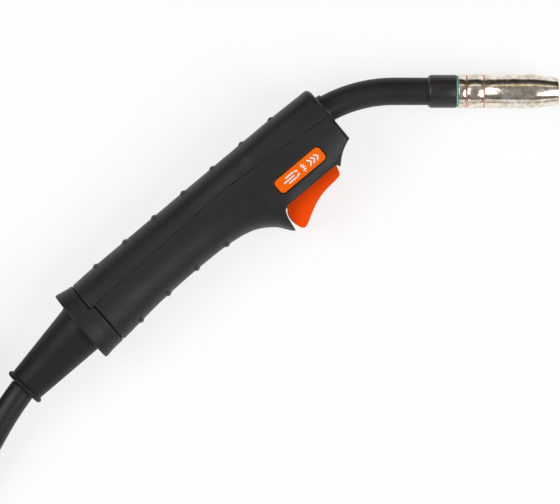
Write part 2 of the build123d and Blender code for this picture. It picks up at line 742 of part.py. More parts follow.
def handle_cable():
    """The same cable on the handle's side of the ball joint, up to its crimp."""
    start = BALL_S + CABLE_HALF_GAP
    end = CONNECTOR_REAR - CRIMP_LENGTH + CRIMP_SOCKET
    points = (
        (start, BALL_T, 0), (-52.0, 0.4, 0), (-30.0, 3.6, 0), (-12.0, NECK_ENTRY_T, 0),
        (end, NECK_ENTRY_T, 0),
    )
    return HANDLE * cord(points, CABLE_DIAMETER, "handle_cable")


# ---------------------------------------------------------------- inside the handle
def neck_connector():
    body = rod(CONNECTOR_DIAMETER / 2, CONNECTOR_REAR, CONNECTOR_FRONT, NECK_ENTRY_T)
    socket = CONNECTOR_FRONT - CONNECTOR_SOCKET
    body -= rod(NECK_TUBE_DIAMETER / 2 + RUN_FIT, socket, CONNECTOR_FRONT + 1, NECK_ENTRY_T)
    body -= rod(LINER_DIAMETER / 2 + RUN_FIT, CONNECTOR_REAR - 1, CONNECTOR_FRONT, NECK_ENTRY_T)
    skin = LINER_DIAMETER / 2 + 0.6
    body -= screw_hole(TOP_SCREW_S, True) & block(0, 60, NECK_ENTRY_T + skin, 40, 20)
    body -= screw_hole(BOTTOM_SCREW_S, False) & block(0, 60, -40, NECK_ENTRY_T - skin, 20)
    return HANDLE * body


def cable_crimp():
    start = CONNECTOR_REAR - CRIMP_LENGTH
    body = rod(CRIMP_DIAMETER / 2, start, CONNECTOR_REAR, NECK_ENTRY_T)
    body -= rod(CABLE_DIAMETER / 2 + RUN_FIT, start - 1, start + CRIMP_SOCKET + RUN_FIT, NECK_ENTRY_T)
    body -= rod(LINER_DIAMETER / 2 + RUN_FIT, start, CONNECTOR_REAR + 1, NECK_ENTRY_T)
    groove = rod(CRIMP_DIAMETER, start + 2.5, start + 5.5, NECK_ENTRY_T)
    groove -= rod(CRIMP_DIAMETER / 2 - 0.5, start, start + 9, NECK_ENTRY_T)
    return HANDLE * (body - groove)


def neck_ferrule():
    outer = NECK_DIAMETER / 2 + FERRULE_WALL
    body = neck_ring(outer, FERRULE_START, HANDLE_FRONT + FERRULE_PROUD)
    body += neck_ring(outer + 1.2, FERRULE_START - 1.6, HANDLE_FRONT - SHELL_WALL - 2.2)
    jacket = pipe(neck_line(-NECK_STRAIGHT + 5, JACKET_START), NECK_DIAMETER / 2 + RUN_FIT)
    return HANDLE * body - jacket


def shell_screw(s, above):
    head = SCREW_HEAD / 2
    shank = SCREW_SHANK / 2
    if above:
        seat = TOP_SCREW_SEAT
        body = upright(head, s, seat, seat + SCREW_HEAD_HEIGHT)
        body += upright(shank, s, seat - SCREW_LENGTH, seat)
        body -= upright(SCREW_SOCKET / 2, s, seat + 1.0, seat + 5)
    else:
        seat = BOTTOM_SCREW_SEAT
        body = upright(head, s, seat - SCREW_HEAD_HEIGHT, seat)
        body += upright(shank, s, seat, seat + LONG_SCREW_LENGTH)
        body -= upright(SCREW_SOCKET / 2, s, seat - 5, seat - 1.0)
    return HANDLE * body


def trigger():
    s, t = TRIGGER_PIVOT
    half = TRIGGER_WIDTH / 2
    face = Polyline(*TRIGGER_FACE, (42.6, TRIGGER_TOP), (s + 2.6, TRIGGER_TOP), close=True)
    body = extrude(make_face(face), half, both=True)
    arm = TRIGGER_ARM_LENGTH / 2
    body += block(SWITCH_S - arm, SWITCH_S + arm, TRIGGER_TOP - 1, TRIGGER_ARM_TOP, TRIGGER_ARM_WIDTH / 2)
    body += Pos(s, t, 0) * Cylinder(TRIGGER_HUB_DIAMETER / 2, TRIGGER_WIDTH)
    hollow_top = block(44.5, 68.0, -23.5, TRIGGER_TOP + 1, half - 2.2)
    hollow_top -= block(SWITCH_S - arm - 1, SWITCH_S + arm + 1, -40, 0, half)
    hollow_top -= upright(RETURN_SPRING_DIAMETER / 2 + 0.8, RETURN_SPRING_S, -40, 0)
    body -= hollow_top
    return HANDLE * (body - Pos(s, t, 0) * Cylinder(TRIGGER_PIN_DIAMETER / 2 + RUN_FIT, 60))


def trigger_pin():
    s, t = TRIGGER_PIVOT
    return HANDLE * (Pos(s, t, 0) * Cylinder(TRIGGER_PIN_DIAMETER / 2, TRIGGER_PIN_LENGTH))


def trigger_spring():
    wire = RETURN_SPRING_WIRE
    mean = (RETURN_SPRING_DIAMETER - wire) / 2
    low = TRIGGER_TOP + wire / 2 + 0.05
    high = SHELF_BOTTOM - wire / 2 - 0.05
    place = Location((RETURN_SPRING_S, low, 0), (-90, 0, 0))
    pitch = (high - low) / RETURN_SPRING_TURNS
    return HANDLE * spring(wire, mean, RETURN_SPRING_TURNS, pitch, place)


def microswitch():
    start = SWITCH_S - SWITCH_BEHIND
    top = SWITCH_BOTTOM + SWITCH_HEIGHT
    body = block(start, start + SWITCH_LENGTH, SWITCH_BOTTOM, top, SWITCH_WIDTH / 2)
    radius = PLUNGER_DIAMETER / 2 + RUN_FIT
    body -= upright(radius, SWITCH_S, SWITCH_BOTTOM - 1, SWITCH_BOTTOM + PLUNGER_LENGTH)
    return HANDLE * body


def switch_plunger():
    low = TRIGGER_ARM_TOP + PLUNGER_GAP
    return HANDLE * upright(PLUNGER_DIAMETER / 2, SWITCH_S, low, low + PLUNGER_LENGTH)


def switch_leads():
    """Two thin wires from the switch back to the cable's crimp."""
    leads = []
    for side in (1, -1):
        points = (
            (SWITCH_S - SWITCH_BEHIND - 0.25, -7.5, side * 1.8), (SWITCH_S - 13.0, -7.7, side * 2.6),
            (SWITCH_S - 26.0, -8.6, side * 6.0), (SWITCH_S - 42.0, -8.2, side * 6.6),
            (SWITCH_S - 56.0, -6.0, side * 5.0),
        )
        leads.append(HANDLE * cord(points, LEAD_DIAMETER, "switch_lead"))
    return Compound(children=leads)


# ---------------------------------------------------------------- cable outside the handle
def above_floor(height):
    return FLOOR_Z + height


def cable_points():
    points = [(EXIT_X, EXIT_Y, 0.0)]
    for dx, dy, height in CABLE_ROUTE:
        points.append((EXIT_X + dx, EXIT_Y + dy, above_floor(height)))
    return points


def torch_cable():
    return cord(cable_points(), CABLE_DIAMETER, "torch_cable")


def coil_centre():
    return EXIT_X + COIL_OFFSET[0], EXIT_Y + COIL_OFFSET[1]


def coil_outer():
    return COIL_INNER_TURN + CABLE_DIAMETER * (COIL_TURNS_LOW - 0.5)


def cable_coil():
    x, y = coil_centre()
    outer = coil_outer()
    inner = COIL_INNER_TURN - CABLE_DIAMETER / 2
    height = COIL_LAYERS * CABLE_DIAMETER
    ring = Cylinder(outer, height) - Cylinder(inner, height + 2)
    ring = fillet(ring.edges(), COIL_EDGE)
    return Pos(x, y, above_floor(height / 2)) * ring


def tail_points():
    x, y = coil_centre()
    height = above_floor(PLUG_AXIS_HEIGHT)
    return [(x + dx, y + dy, height + rise) for dx, dy, rise in TAIL_ROUTE]


def cable_tail():
    return cord(tail_points(), CABLE_DIAMETER, "cable_tail")


# ---------------------------------------------------------------- machine-side plug
def plug_frame():
    """The plug's own x runs from the cable's end out along its pin, which points along +y."""
    x, y, z = tail_points()[-1]
    return Location((x, y, z), (0, 0, 90))


def plug_boot():
    end = PLUG_BOOT_LENGTH
    slim = PLUG_BOOT_DIAMETER / 2
    root = PLUG_BOOT_ROOT_DIAMETER / 2
    body = turned(((0, 0), (0, slim - 1), (1, slim), (end - 4, root), (end, root), (end, 0)))
    for number in range(4):
        place = 6.0 + 6.5 * number
        ring = rod(40, place, place + 2.0) - rod(slim - 0.6 + 0.5 * number, place - 1, place + 3)
        body -= ring
    body -= rod(CABLE_DIAMETER / 2 + RUN_FIT, -1, end + 1)
    return plug_frame() * body


def cable_in_plug():
    return plug_frame() * rod(CABLE_DIAMETER / 2, 0, PLUG_BOOT_LENGTH + PLUG_CABLE_DEPTH)


HOUSING_END = PLUG_BOOT_LENGTH + PLUG_HOUSING_LENGTH
BLOCK_FACE = HOUSING_END + PLUG_BLOCK_PROUD
O_RING_X = BLOCK_FACE + PLUG_PIN_LENGTH - O_RING_FROM_TIP
NUT_START = HOUSING_END - NUT_OVERLAP + 0.2
NUT_END = NUT_START + PLUG_NUT_LENGTH
NUT_SEAT = PLUG_NUT_BORE / 2 - 1.5


def plug_housing():
    start = PLUG_BOOT_LENGTH
    outer = PLUG_HOUSING_DIAMETER / 2
    root = PLUG_BOOT_ROOT_DIAMETER / 2 + 1.5
    shoulder = HOUSING_END - NUT_OVERLAP
    body = turned((
        (start, 0), (start, root), (start + 4, root + 0.6), (start + 22, outer), (shoulder, outer),
        (shoulder, NUT_SEAT), (HOUSING_END, NUT_SEAT), (HOUSING_END, 0),
    ))
    body -= rod(CABLE_DIAMETER / 2 + RUN_FIT, start - 1, start + PLUG_CABLE_DEPTH + RUN_FIT)
    body -= rod(PLUG_BLOCK_DIAMETER / 2 + RUN_FIT, start + PLUG_CABLE_DEPTH, HOUSING_END + 1)
    notch = block(start + 26, shoulder - 4, outer - PLUG_NOTCH_DEPTH, outer + 5, PLUG_NOTCH_WIDTH / 2)
    for number in range(PLUG_NOTCH_COUNT):
        body -= Rot(360 / PLUG_NOTCH_COUNT * number, 0, 0) * notch
    return plug_frame() * body


def control_pin_places():
    """Heights of the two pins above the plug's axis."""
    return CONTROL_PIN_OFFSET, -CONTROL_PIN_OFFSET


def plug_body():
    """Brass block with the central pin that carries gas, wire and current."""
    start = PLUG_BOOT_LENGTH + PLUG_CABLE_DEPTH
    body = rod(PLUG_BLOCK_DIAMETER / 2, start, BLOCK_FACE)
    body += rod(PLUG_PIN_DIAMETER / 2, BLOCK_FACE - 1, BLOCK_FACE + PLUG_PIN_LENGTH)
    body -= rod(PLUG_PIN_BORE / 2, start - 1, BLOCK_FACE + PLUG_PIN_LENGTH + 1)
    groove = rod(20, O_RING_X - O_RING_GROOVE / 2, O_RING_X + O_RING_GROOVE / 2)
    body -= groove - rod(PLUG_PIN_DIAMETER / 2 - O_RING_GROOVE_DEPTH, BLOCK_FACE, O_RING_X + 5)
    for z in control_pin_places():
        body -= rod(BUSH_DIAMETER / 2, BLOCK_FACE - BUSH_LENGTH - 0.1, BLOCK_FACE + 1, 0, z)
    return plug_frame() * body


def plug_o_ring():
    """The seal on the pin, at the size that its socket squeezes it to."""
    half = O_RING_GROOVE_DEPTH / 2 - 0.01
    ring = Pos(O_RING_X, 0, 0) * Rot(0, 90, 0) * Torus(PLUG_PIN_DIAMETER / 2 - O_RING_GROOVE_DEPTH / 2, half)
    return plug_frame() * ring


def pin_holder():
    """Insulating bushes that carry the two control pins."""
    bushes = []
    for z in control_pin_places():
        bush = rod(BUSH_DIAMETER / 2, BLOCK_FACE - BUSH_LENGTH, BLOCK_FACE, 0, z)
        bush -= rod(CONTROL_PIN_DIAMETER / 2 + RUN_FIT, BLOCK_FACE - BUSH_DEPTH, BLOCK_FACE + 1, 0, z)
        bushes.append(plug_frame() * bush)
    return Compound(children=bushes)


def control_pin(number):
    z = control_pin_places()[number]
    tip = BLOCK_FACE + CONTROL_PIN_PROUD - 1
    body = rod(CONTROL_PIN_DIAMETER / 2, BLOCK_FACE - CONTROL_PIN_ROOT, tip, 0, z)
    body += Pos(tip, 0, z) * Sphere(CONTROL_PIN_DIAMETER / 2)
    return plug_frame() * body


def control_pin_spring(number):
    z = control_pin_places()[number]
    wire = CONTROL_SPRING_WIRE
    low = BLOCK_FACE - BUSH_DEPTH + wire / 2 + RUN_FIT
    high = BLOCK_FACE - CONTROL_PIN_ROOT - wire / 2 - RUN_FIT
    turns = CONTROL_SPRING_TURNS
    place = Location((low, 0, z), (0, 90, 0))
    mean = CONTROL_PIN_DIAMETER / 2 - wire / 2 - 0.15
    return plug_frame() * spring(wire, mean, turns, (high - low) / turns, place)


def plug_nut():
    """Screw ring that turns freely on the housing."""
    outer = PLUG_NUT_DIAMETER / 2
    neck = NUT_SEAT + 0.1
    bore = PLUG_NUT_BORE / 2
    start = NUT_START
    body = turned((
        (start, neck), (start, outer - 1), (start + 1, outer), (NUT_END - 1, outer), (NUT_END, outer - 1),
        (NUT_END, bore), (HOUSING_END + 0.2, bore), (HOUSING_END + 0.2, neck),
    ))
    groove = rod(2.0, start - 1, NUT_END + 1, outer + 1.0)
    for number in range(PLUG_NUT_GROOVES):
        body -= Rot(360 / PLUG_NUT_GROOVES * number, 0, 0) * groove
    return plug_frame() * body


def plug_retainer():
    """Clip ring that keeps the nut on the housing."""
    inner = PLUG_BLOCK_DIAMETER / 2 + 0.1
    ring = rod(PLUG_NUT_BORE / 2 - 0.4, HOUSING_END + 0.3, HOUSING_END + 1.5) - rod(inner, 0, 300)
    return plug_frame() * ring


def plug_liner_nut():
    """Nut at the tip of the central pin that clamps the wire liner."""
    start = BLOCK_FACE + PLUG_PIN_LENGTH
    hexagon = Plane(origin=(start + 0.05, 0, 0), z_dir=(1, 0, 0)) * RegularPolygon(4.6, 6)
    body = extrude(hexagon, 4.0) - rod(1.6, start - 1, start + 10)
    return plug_frame() * body


# ---------------------------------------------------------------- all pieces
CORD_PIECES = (
    "torch_cable", "cable_coil", "cable_tail", "plug_boot", "cable_in_plug", "plug_housing",
    "plug_body", "plug_o_ring", "plug_pin_holder", "control_pin_upper", "control_pin_lower",
    "control_pin_spring_upper", "control_pin_spring_lower", "plug_nut", "plug_retainer",
    "plug_liner_nut",
)


def all_pieces():
    body = handle_body()
    return {
        "gas_nozzle": gas_nozzle(),
        "contact_tip": contact_tip(),
        "neck_head": neck_head(),
        "nozzle_spring": nozzle_spring(),
        "insulating_ring": insulating_ring(),
        "neck_end_sleeve": neck_end_sleeve(),
        "neck_conductor_tube": neck_conductor_tube(),
        "neck_insulation": neck_insulation(),
        "wire_liner": wire_liner(),
        "neck_ferrule": neck_ferrule(),
        "handle_top_shell": handle_shell(body, True),
        "handle_bottom_shell": handle_shell(body, False),
        "label_plate_near": label_plate(1),
        "label_plate_far": label_plate(-1),
        "neck_connector": neck_connector(),
        "cable_crimp": cable_crimp(),
        "handle_cable": handle_cable(),
        "top_shell_screw": shell_screw(TOP_SCREW_S, True),
        "bottom_shell_screw": shell_screw(BOTTOM_SCREW_S, False),
        "trigger": trigger(),
        "trigger_pin": trigger_pin(),
        "trigger_spring": trigger_spring(),
        "microswitch": microswitch(),
        "switch_plunger": switch_plunger(),
        "switch_leads": switch_leads(),
        "rear_collar": rear_collar(),
        "ball_joint_liner": ball_joint_liner(),
        "cable_boot": cable_boot(),
        "cable_in_boot": cable_in_boot(),
        "torch_cable": torch_cable(),
        "cable_coil": cable_coil(),
        "cable_tail": cable_tail(),
        "plug_boot": plug_boot(),
        "cable_in_plug": cable_in_plug(),
        "plug_housing": plug_housing(),
        "plug_body": plug_body(),
        "plug_o_ring": plug_o_ring(),
        "plug_pin_holder": pin_holder(),
        "control_pin_upper": control_pin(0),
        "control_pin_lower": control_pin(1),
        "control_pin_spring_upper": control_pin_spring(0),
        "control_pin_spring_lower": control_pin_spring(1),
        "plug_nut": plug_nut(),
        "plug_retainer": plug_retainer(),
        "plug_liner_nut": plug_liner_nut(),
    }


def row_shift(pieces):
    """From the working frame to the row's origin: bottom centre of the torch without its cable."""
    boxes = [piece.bounding_box() for name, piece in pieces.items() if name not in CORD_PIECES]
    middle_x = (min(box.min.X for box in boxes) + max(box.max.X for box in boxes)) / 2
    middle_y = (min(box.min.Y for box in boxes) + max(box.max.Y for box in boxes)) / 2
    return Vector(-middle_x, -middle_y, -min(box.min.Z for box in boxes))


PIECES = all_pieces()
SHIFT = row_shift(PIECES)
os.makedirs("parts", exist_ok=True)
for node, piece in PIECES.items():
    export_step(Pos(SHIFT) * piece, "parts/" + node + ".step")
print("shift", tuple(round(v, 3) for v in SHIFT), "nodes", len(PIECES))
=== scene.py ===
import math
import bmesh
import bpy
from mathutils import Matrix, Vector


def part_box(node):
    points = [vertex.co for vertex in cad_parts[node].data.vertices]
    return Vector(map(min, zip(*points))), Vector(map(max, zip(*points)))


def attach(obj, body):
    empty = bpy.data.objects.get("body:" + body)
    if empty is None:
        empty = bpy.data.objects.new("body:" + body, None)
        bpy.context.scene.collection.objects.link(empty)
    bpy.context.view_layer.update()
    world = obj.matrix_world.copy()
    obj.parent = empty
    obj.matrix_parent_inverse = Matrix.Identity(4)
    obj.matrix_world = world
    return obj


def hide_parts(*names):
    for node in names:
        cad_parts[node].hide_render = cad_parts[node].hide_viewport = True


# MIG welding torch lying on its side. Shapes are built in millimetres and put in the frame in metres.
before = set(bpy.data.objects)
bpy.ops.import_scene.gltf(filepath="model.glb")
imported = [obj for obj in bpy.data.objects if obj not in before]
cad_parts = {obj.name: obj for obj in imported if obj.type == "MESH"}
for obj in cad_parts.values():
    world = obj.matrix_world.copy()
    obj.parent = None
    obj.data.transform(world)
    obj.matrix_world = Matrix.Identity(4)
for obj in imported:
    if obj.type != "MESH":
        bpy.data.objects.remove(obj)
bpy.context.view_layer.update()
MM = 0.001

# ---------------------------------------------------------------- places read from the frame
NOZZLE_LOW, NOZZLE_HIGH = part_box("gas_nozzle")
# the nozzle's mouth on its axis: the origin of the millimetre drawing
MOUTH = Vector((NOZZLE_HIGH.x, (NOZZLE_LOW.y + NOZZLE_HIGH.y) / 2, (NOZZLE_LOW.z + NOZZLE_HIGH.z) / 2))
FLOOR = min(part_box("handle_top_shell")[0].z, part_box("rear_collar")[0].z)

# ---------------------------------------------------------------- sizes, mm
NOZZLE_LENGTH = 53.0
NOZZLE_RADIUS = 9.0
NOZZLE_MOUTH_RADIUS = 7.2
NOZZLE_BORE = 7.3
NOZZLE_MOUTH_BORE = 6.0
NOZZLE_TAPER = 12.4
GROOVES = (39.5, 48.7)
NECK_RADIUS = 7.3
NECK_TUBE_RADIUS = 5.05
NECK_STRAIGHT = 86.9
NECK_BEND = 74.5
NECK_ANGLE = 40.0
NECK_ENTRY_S = 76.3
NECK_ENTRY_T = 5.6
JACKET_START_S = 56.0
JACKET_FRONT = 59.1
SLEEVE_FRONT = 54.1
SLEEVE_LENGTH = 15.0
SLEEVE_RADIUS = 8.75
SLEEVE_CHAMFER = 1.6
HANDLE_FRONT = 89.9
HANDLE_REAR_TOP = -72.4
HANDLE_REAR_BOTTOM = -69.6
SIDE_LINE = 1.5
WALL = 2.4
FRONT_ROUNDING = 2.6
BACK = 19.2
# station s, back height, underside depth, width, squareness
GRIP_STATIONS = (
    (HANDLE_REAR_TOP, BACK - 0.4, 20.4, 36.4, 2.2), (-58.0, BACK, 19.2, 35.6, 2.2),
    (-40.0, BACK, 17.7, 34.2, 2.2), (-18.0, BACK, 17.0, 33.6, 2.2), (0.0, BACK, 17.3, 33.6, 2.3),
    (12.0, BACK, 18.5, 34.4, 2.4), (22.0, BACK, 21.4, 35.6, 2.5), (30.0, BACK, 26.7, 36.6, 2.6),
    (37.0, BACK, 34.9, 37.5, 2.6), (43.0, BACK, 37.0, 38.0, 2.8), (54.0, BACK, 31.0, 38.0, 3.0),
    (70.0, BACK - 0.1, 27.5, 38.0, 3.0), (HANDLE_FRONT, BACK - 0.5, 25.0, 36.4, 3.0),
)
SEAM = ((-90.0, 2.4), (-70.0, 3.0), (-18.5, 4.6), (18.6, 5.5), (48.0, 4.1), (95.0, 0.2))
SEAM_GAP = -0.12
RIB_PITCH = 20.1
RIBS_BACK = [-56.3 + RIB_PITCH * number for number in range(7)]
RIBS_UNDER = [-56.0 + RIB_PITCH * number for number in range(4)]
RIB_LENGTH = 3.2
RIB_HEIGHT = 0.85
RIB_SPAN = 17.0
CHIN_CENTRE = (96.1, -40.0)
CHIN_RADIUS = 24.9
CHIN_TOP = -15.74
CHIN_POINT = (77.0, -24.1)
EDGE_OVER_TRIGGER = -22.0
HORN_FRONT = ((37.1, -35.1), (37.9, -29.0), (38.8, -25.3), (40.2, -22.9), (42.5, EDGE_OVER_TRIGGER))
POCKET = (36.4, 76.1, -31.0, -19.4, 9.0)
SCREW_HEAD_RADIUS = 3.2
SCREW_HEAD_HEIGHT = 2.4
SCREW_SINK = 0.7
SCREW_UNDERSIDE = 20.4
TOP_SCREW_S = 37.0
BOTTOM_SCREW_S = 20.0
FERRULE_START = 84.6
FERRULE_PROUD = 1.7
HEAD_HALF = 19.0
RETURN_SPRING_S = 46.0
LABEL_CENTRE = (59.0, -12.0)
LABEL_SIZE = (30.5, 8.2, 2.3)
LABEL_TILT = 9.2
LABEL_SINK = 0.9
LABEL_GAP = 0.35
TRIGGER_HALF = 8.5
TRIGGER_PIVOT = (72.3, -18.6)
TRIGGER_OUTLINE = (
    (75.4, -22.5), (74.0, -26.7), (71.3, -27.8), (62.9, -28.6), (55.9, -30.3), (49.8, -33.1),
    (44.6, -35.9), (42.3, -36.7), (40.6, -35.9), (39.5, -33.5), (38.8, -30.5), (38.7, -28.2),
    (39.4, -25.2), (40.9, -23.2), (42.6, -18.8), (58.0, -18.7), (74.9, -18.7),
)
BALL = (-79.0, -1.1)
BALL_RADIUS = 14.7
SEAT_RADIUS = 16.6
SPIGOT_RADIUS = 15.7
BOOT_HEADING = 225.9
BOOT_ROOT = 13.9
BOOT_TIP = 10.0
BOOT_MOUTH = 48.5
BEAD_RADIUS = 1.4
CABLE_RADIUS = 7.0

# ---------------------------------------------------------------- frames
TURN = math.radians(NECK_ANGLE)
TO_FRAME = Matrix.Translation(MOUTH) @ Matrix.Diagonal((MM, MM, MM, 1.0))
ENTRY_X = -NECK_STRAIGHT - NECK_BEND * math.sin(TURN)
ENTRY_Y = -NECK_BEND * (1 - math.cos(TURN))
HANDLE_X = ENTRY_X - (NECK_ENTRY_S * math.cos(TURN) - NECK_ENTRY_T * math.sin(TURN))
HANDLE_Y = ENTRY_Y - (NECK_ENTRY_S * math.sin(TURN) + NECK_ENTRY_T * math.cos(TURN))
HANDLE = Matrix.Translation((HANDLE_X, HANDLE_Y, 0)) @ Matrix.Rotation(TURN, 4, "Z")
BALL_POINT = HANDLE @ Vector((*BALL, 0))
BOOT = Matrix.Translation(BALL_POINT) @ Matrix.Rotation(math.radians(BOOT_HEADING), 4, "Z")
EXIT = BOOT @ Vector((BOOT_MOUTH, 0, 0))


# ---------------------------------------------------------------- camera
VIEW_CENTRE = Vector((-147.3, -85.0, 0.0))
VIEW_WIDTH = 296.3
CAMERA_HEIGHT = 3000.0
SENSOR = 36.0


def make_camera():
    camera = bpy.data.objects.new("camera", bpy.data.cameras.new("camera"))
    bpy.context.scene.collection.objects.link(camera)
    camera.location = TO_FRAME @ (VIEW_CENTRE + Vector((0, 0, CAMERA_HEIGHT)))
    camera.data.sensor_width = SENSOR
    camera.data.lens = SENSOR * CAMERA_HEIGHT / VIEW_WIDTH
    camera.data.clip_end = 50.0
    bpy.context.scene.camera = camera


# ---------------------------------------------------------------- mesh helpers
def new_object(name, verts, faces):
    mesh = bpy.data.meshes.new(name)
    mesh.from_pydata([tuple(v) for v in verts], [], faces)
    mesh.update()
    obj = bpy.data.objects.new(name, mesh)
    bpy.context.scene.collection.objects.link(obj)
    return obj


def bake_modifiers(obj):
    """The object's mesh with its modifiers applied."""
    bpy.context.view_layer.update()
    graph = bpy.context.evaluated_depsgraph_get()
    mesh = bpy.data.meshes.new_from_object(obj.evaluated_get(graph))
    obj.modifiers.clear()
    old = obj.data
    obj.data = mesh
    mesh.name = obj.name
    bpy.data.meshes.remove(old)
    return obj


def cut(obj, tool, operation="DIFFERENCE"):
    fix_normals(tool)
    modifier = obj.modifiers.new("cut", "BOOLEAN")
    modifier.operation = operation
    modifier.solver = "EXACT"
    modifier.object = tool
    bake_modifiers(obj)
    bpy.data.objects.remove(tool)
    return obj


def fix_normals(obj):
    bm = bmesh.new()
    bm.from_mesh(obj.data)
    bmesh.ops.recalc_face_normals(bm, faces=bm.faces)
    bm.to_mesh(obj.data)
    bm.free()
    return obj


def soften(obj, voxel, rounds):
    """Even mesh with all sharp edges slightly rounded, as moulded plastic has."""
    remesh = obj.modifiers.new("remesh", "REMESH")
    remesh.mode = "VOXEL"
    remesh.voxel_size = voxel
    smooth = obj.modifiers.new("smooth", "SMOOTH")
    smooth.factor = 0.5
    smooth.iterations = rounds
    return bake_modifiers(obj)


def finish_piece(obj, body, material, nodes=(), place=None, sharp=35.0):
    """Moves a millimetre mesh into the frame, shades it and binds it to its body."""
    matrix = TO_FRAME @ place if place is not None else TO_FRAME
    obj.data.transform(matrix)
    fix_normals(obj)
    obj.data.shade_smooth()
    if sharp < 180.0:
        obj.data.set_sharp_from_angle(angle=math.radians(sharp))
    obj.data.materials.clear()
    obj.data.materials.append(material)
    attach(obj, body)
    if nodes:
        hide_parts(*nodes)
    return obj


def turned(name, profile, segments=96, closed=True):
    """A surface of revolution about x from (x, radius) points; closed joins the last point to the first."""
    verts = []
    for x, radius in profile:
        for step in range(segments):
            angle = 2 * math.pi * step / segments
            verts.append((x, radius * math.cos(angle), radius * math.sin(angle)))
    rows = len(profile)
    faces = []
    for row in range(rows if closed else rows - 1):
        here, after = row * segments, (row + 1) % rows * segments
        for step in range(segments):
            beside = (step + 1) % segments
            faces.append((here + step, here + beside, after + beside, after + step))
    obj = new_object(name, verts, faces)
    weld(obj)
    return obj


def weld(obj, distance=0.0005):
    bm = bmesh.new()
    bm.from_mesh(obj.data)
    bmesh.ops.remove_doubles(bm, verts=bm.verts, dist=distance)
    bmesh.ops.recalc_face_normals(bm, faces=bm.faces)
    bm.to_mesh(obj.data)
    bm.free()


def rod(name, radius, start, end, y=0.0, z=0.0, segments=64):
    obj = turned(name, ((start, 0.0), (start, radius), (end, radius), (end, 0.0)), segments, False)
    obj.data.transform(Matrix.Translation((0, y, z)))
    return obj


def prism(name, outline, low, high):
    """A straight block over a flat outline in x and y."""
    count = len(outline)
    verts = [(x, y, low) for x, y in outline] + [(x, y, high) for x, y in outline]
    faces = [tuple(range(count)), tuple(range(2 * count - 1, count - 1, -1))]
    faces += [(n, (n + 1) % count, count + (n + 1) % count, count + n) for n in range(count)]
    return fix_normals(new_object(name, verts, faces))


def rounded_rectangle(length, height, radius, steps=8):
    points = []
    for corner, (sx, sy) in enumerate(((1, 1), (-1, 1), (-1, -1), (1, -1))):
        for step in range(steps + 1):
            angle = math.pi / 2 * (corner + step / steps)
            points.append((sx * (length / 2 - radius) + radius * math.cos(angle),
                           sy * (height / 2 - radius) + radius * math.sin(angle)))
    return points


def smooth_line(points, steps, closed=False):
    """Points on a smooth curve through the given points."""
    found = []
    count = len(points)
    spans = count if closed else count - 1
    for n in range(spans):
        if closed:
            p0, p1, p2, p3 = (points[(n + k - 1) % count] for k in range(4))
        else:
            p0, p1, p2, p3 = (points[min(max(n + k - 1, 0), count - 1)] for k in range(4))
        for step in range(steps):
            u = step / steps
            found.append(tuple(
                0.5 * (2 * b + (c - a) * u + (2 * a - 5 * b + 4 * c - d) * u * u
                       + (3 * b - a - 3 * c + d) * u**3)
                for a, b, c, d in zip(p0, p1, p2, p3)
            ))
    if not closed:
        found.append(tuple(points[-1]))
    return found


# ---------------------------------------------------------------- handle
def grip_at(s):
    """The station at s, smooth between the stations, with no overshoot."""
    stations = GRIP_STATIONS
    s = min(max(s, stations[0][0]), stations[-1][0])
    here = max(n for n in range(len(stations) - 1) if stations[n][0] <= s)
    low, high = stations[here], stations[here + 1]
    run = high[0] - low[0]
    u = (s - low[0]) / run
    values = []
    for part in range(1, len(low)):
        slope_in = limited_slope(here, part) * run
        slope_out = limited_slope(here + 1, part) * run
        values.append(low[part] * (1 + 2 * u) * (1 - u) ** 2 + slope_in * u * (1 - u) ** 2
                      + high[part] * u * u * (3 - 2 * u) + slope_out * u * u * (u - 1))
    return values


def limited_slope(number, part):
    stations = GRIP_STATIONS
    if number in (0, len(stations) - 1):
        return 0.0
    before, here, after = stations[number - 1], stations[number], stations[number + 1]
    slope_in = (here[part] - before[part]) / (here[0] - before[0])
    slope_out = (after[part] - here[part]) / (after[0] - here[0])
    if slope_in * slope_out <= 0:
        return 0.0
    return 2 * slope_in * slope_out / (slope_in + slope_out)


def bump_shape(distance, half, edge):
    """1 within half of the middle, falling smoothly to 0 over the edge width."""
    share = min(max((half + edge / 2 - abs(distance)) / edge, 0.0), 1.0)
    return share * share * (3 - 2 * share)


def section_ring(s, heights, inset, count, ribs=False):
    back, under, width, squareness = heights
    half = width / 2 - inset
    ring = []
    for step in range(count):
        angle = 2 * math.pi * (step + 0.5) / count
        across, along = math.cos(angle), math.sin(angle)
        height = (back - SIDE_LINE if along > 0 else under + SIDE_LINE) - inset
        z = half * math.copysign(abs(across) ** (2 / squareness), across)
        lift = 0.0
        if ribs:
            places = RIBS_BACK if along > 0 else RIBS_UNDER
            lift = sum(bump_shape(s - place, RIB_LENGTH / 2 - 0.4, 0.9) for place in places)
            lift *= RIB_HEIGHT * bump_shape(z, RIB_SPAN / 2 - 1.0, 2.5)
        t = SIDE_LINE + (height + lift) * math.copysign(abs(along) ** (2 / squareness), along)
        ring.append((s, t, z))
    return ring


def tube_of_rings(name, rings):
    count = len(rings[0])
    verts = [point for ring in rings for point in ring]
    faces = [tuple(range(count)), tuple(range(len(verts) - 1, len(verts) - count - 1, -1))]
    for row in range(len(rings) - 1):
        for step in range(count):
            beside = (step + 1) % count
            faces.append((row * count + step, row * count + beside,
                          (row + 1) * count + beside, (row + 1) * count + step))
    return fix_normals(new_object(name, verts, faces))


def grip_body():
    rings = []
    start, end = GRIP_STATIONS[0][0], GRIP_STATIONS[-1][0]
    steps = 250
    for step in range(steps + 1):
        s = start + (end - start) * step / steps
        rings.append(section_ring(s, grip_at(s), front_inset(end - s), 120, True))
    return tube_of_rings("grip_body", rings)


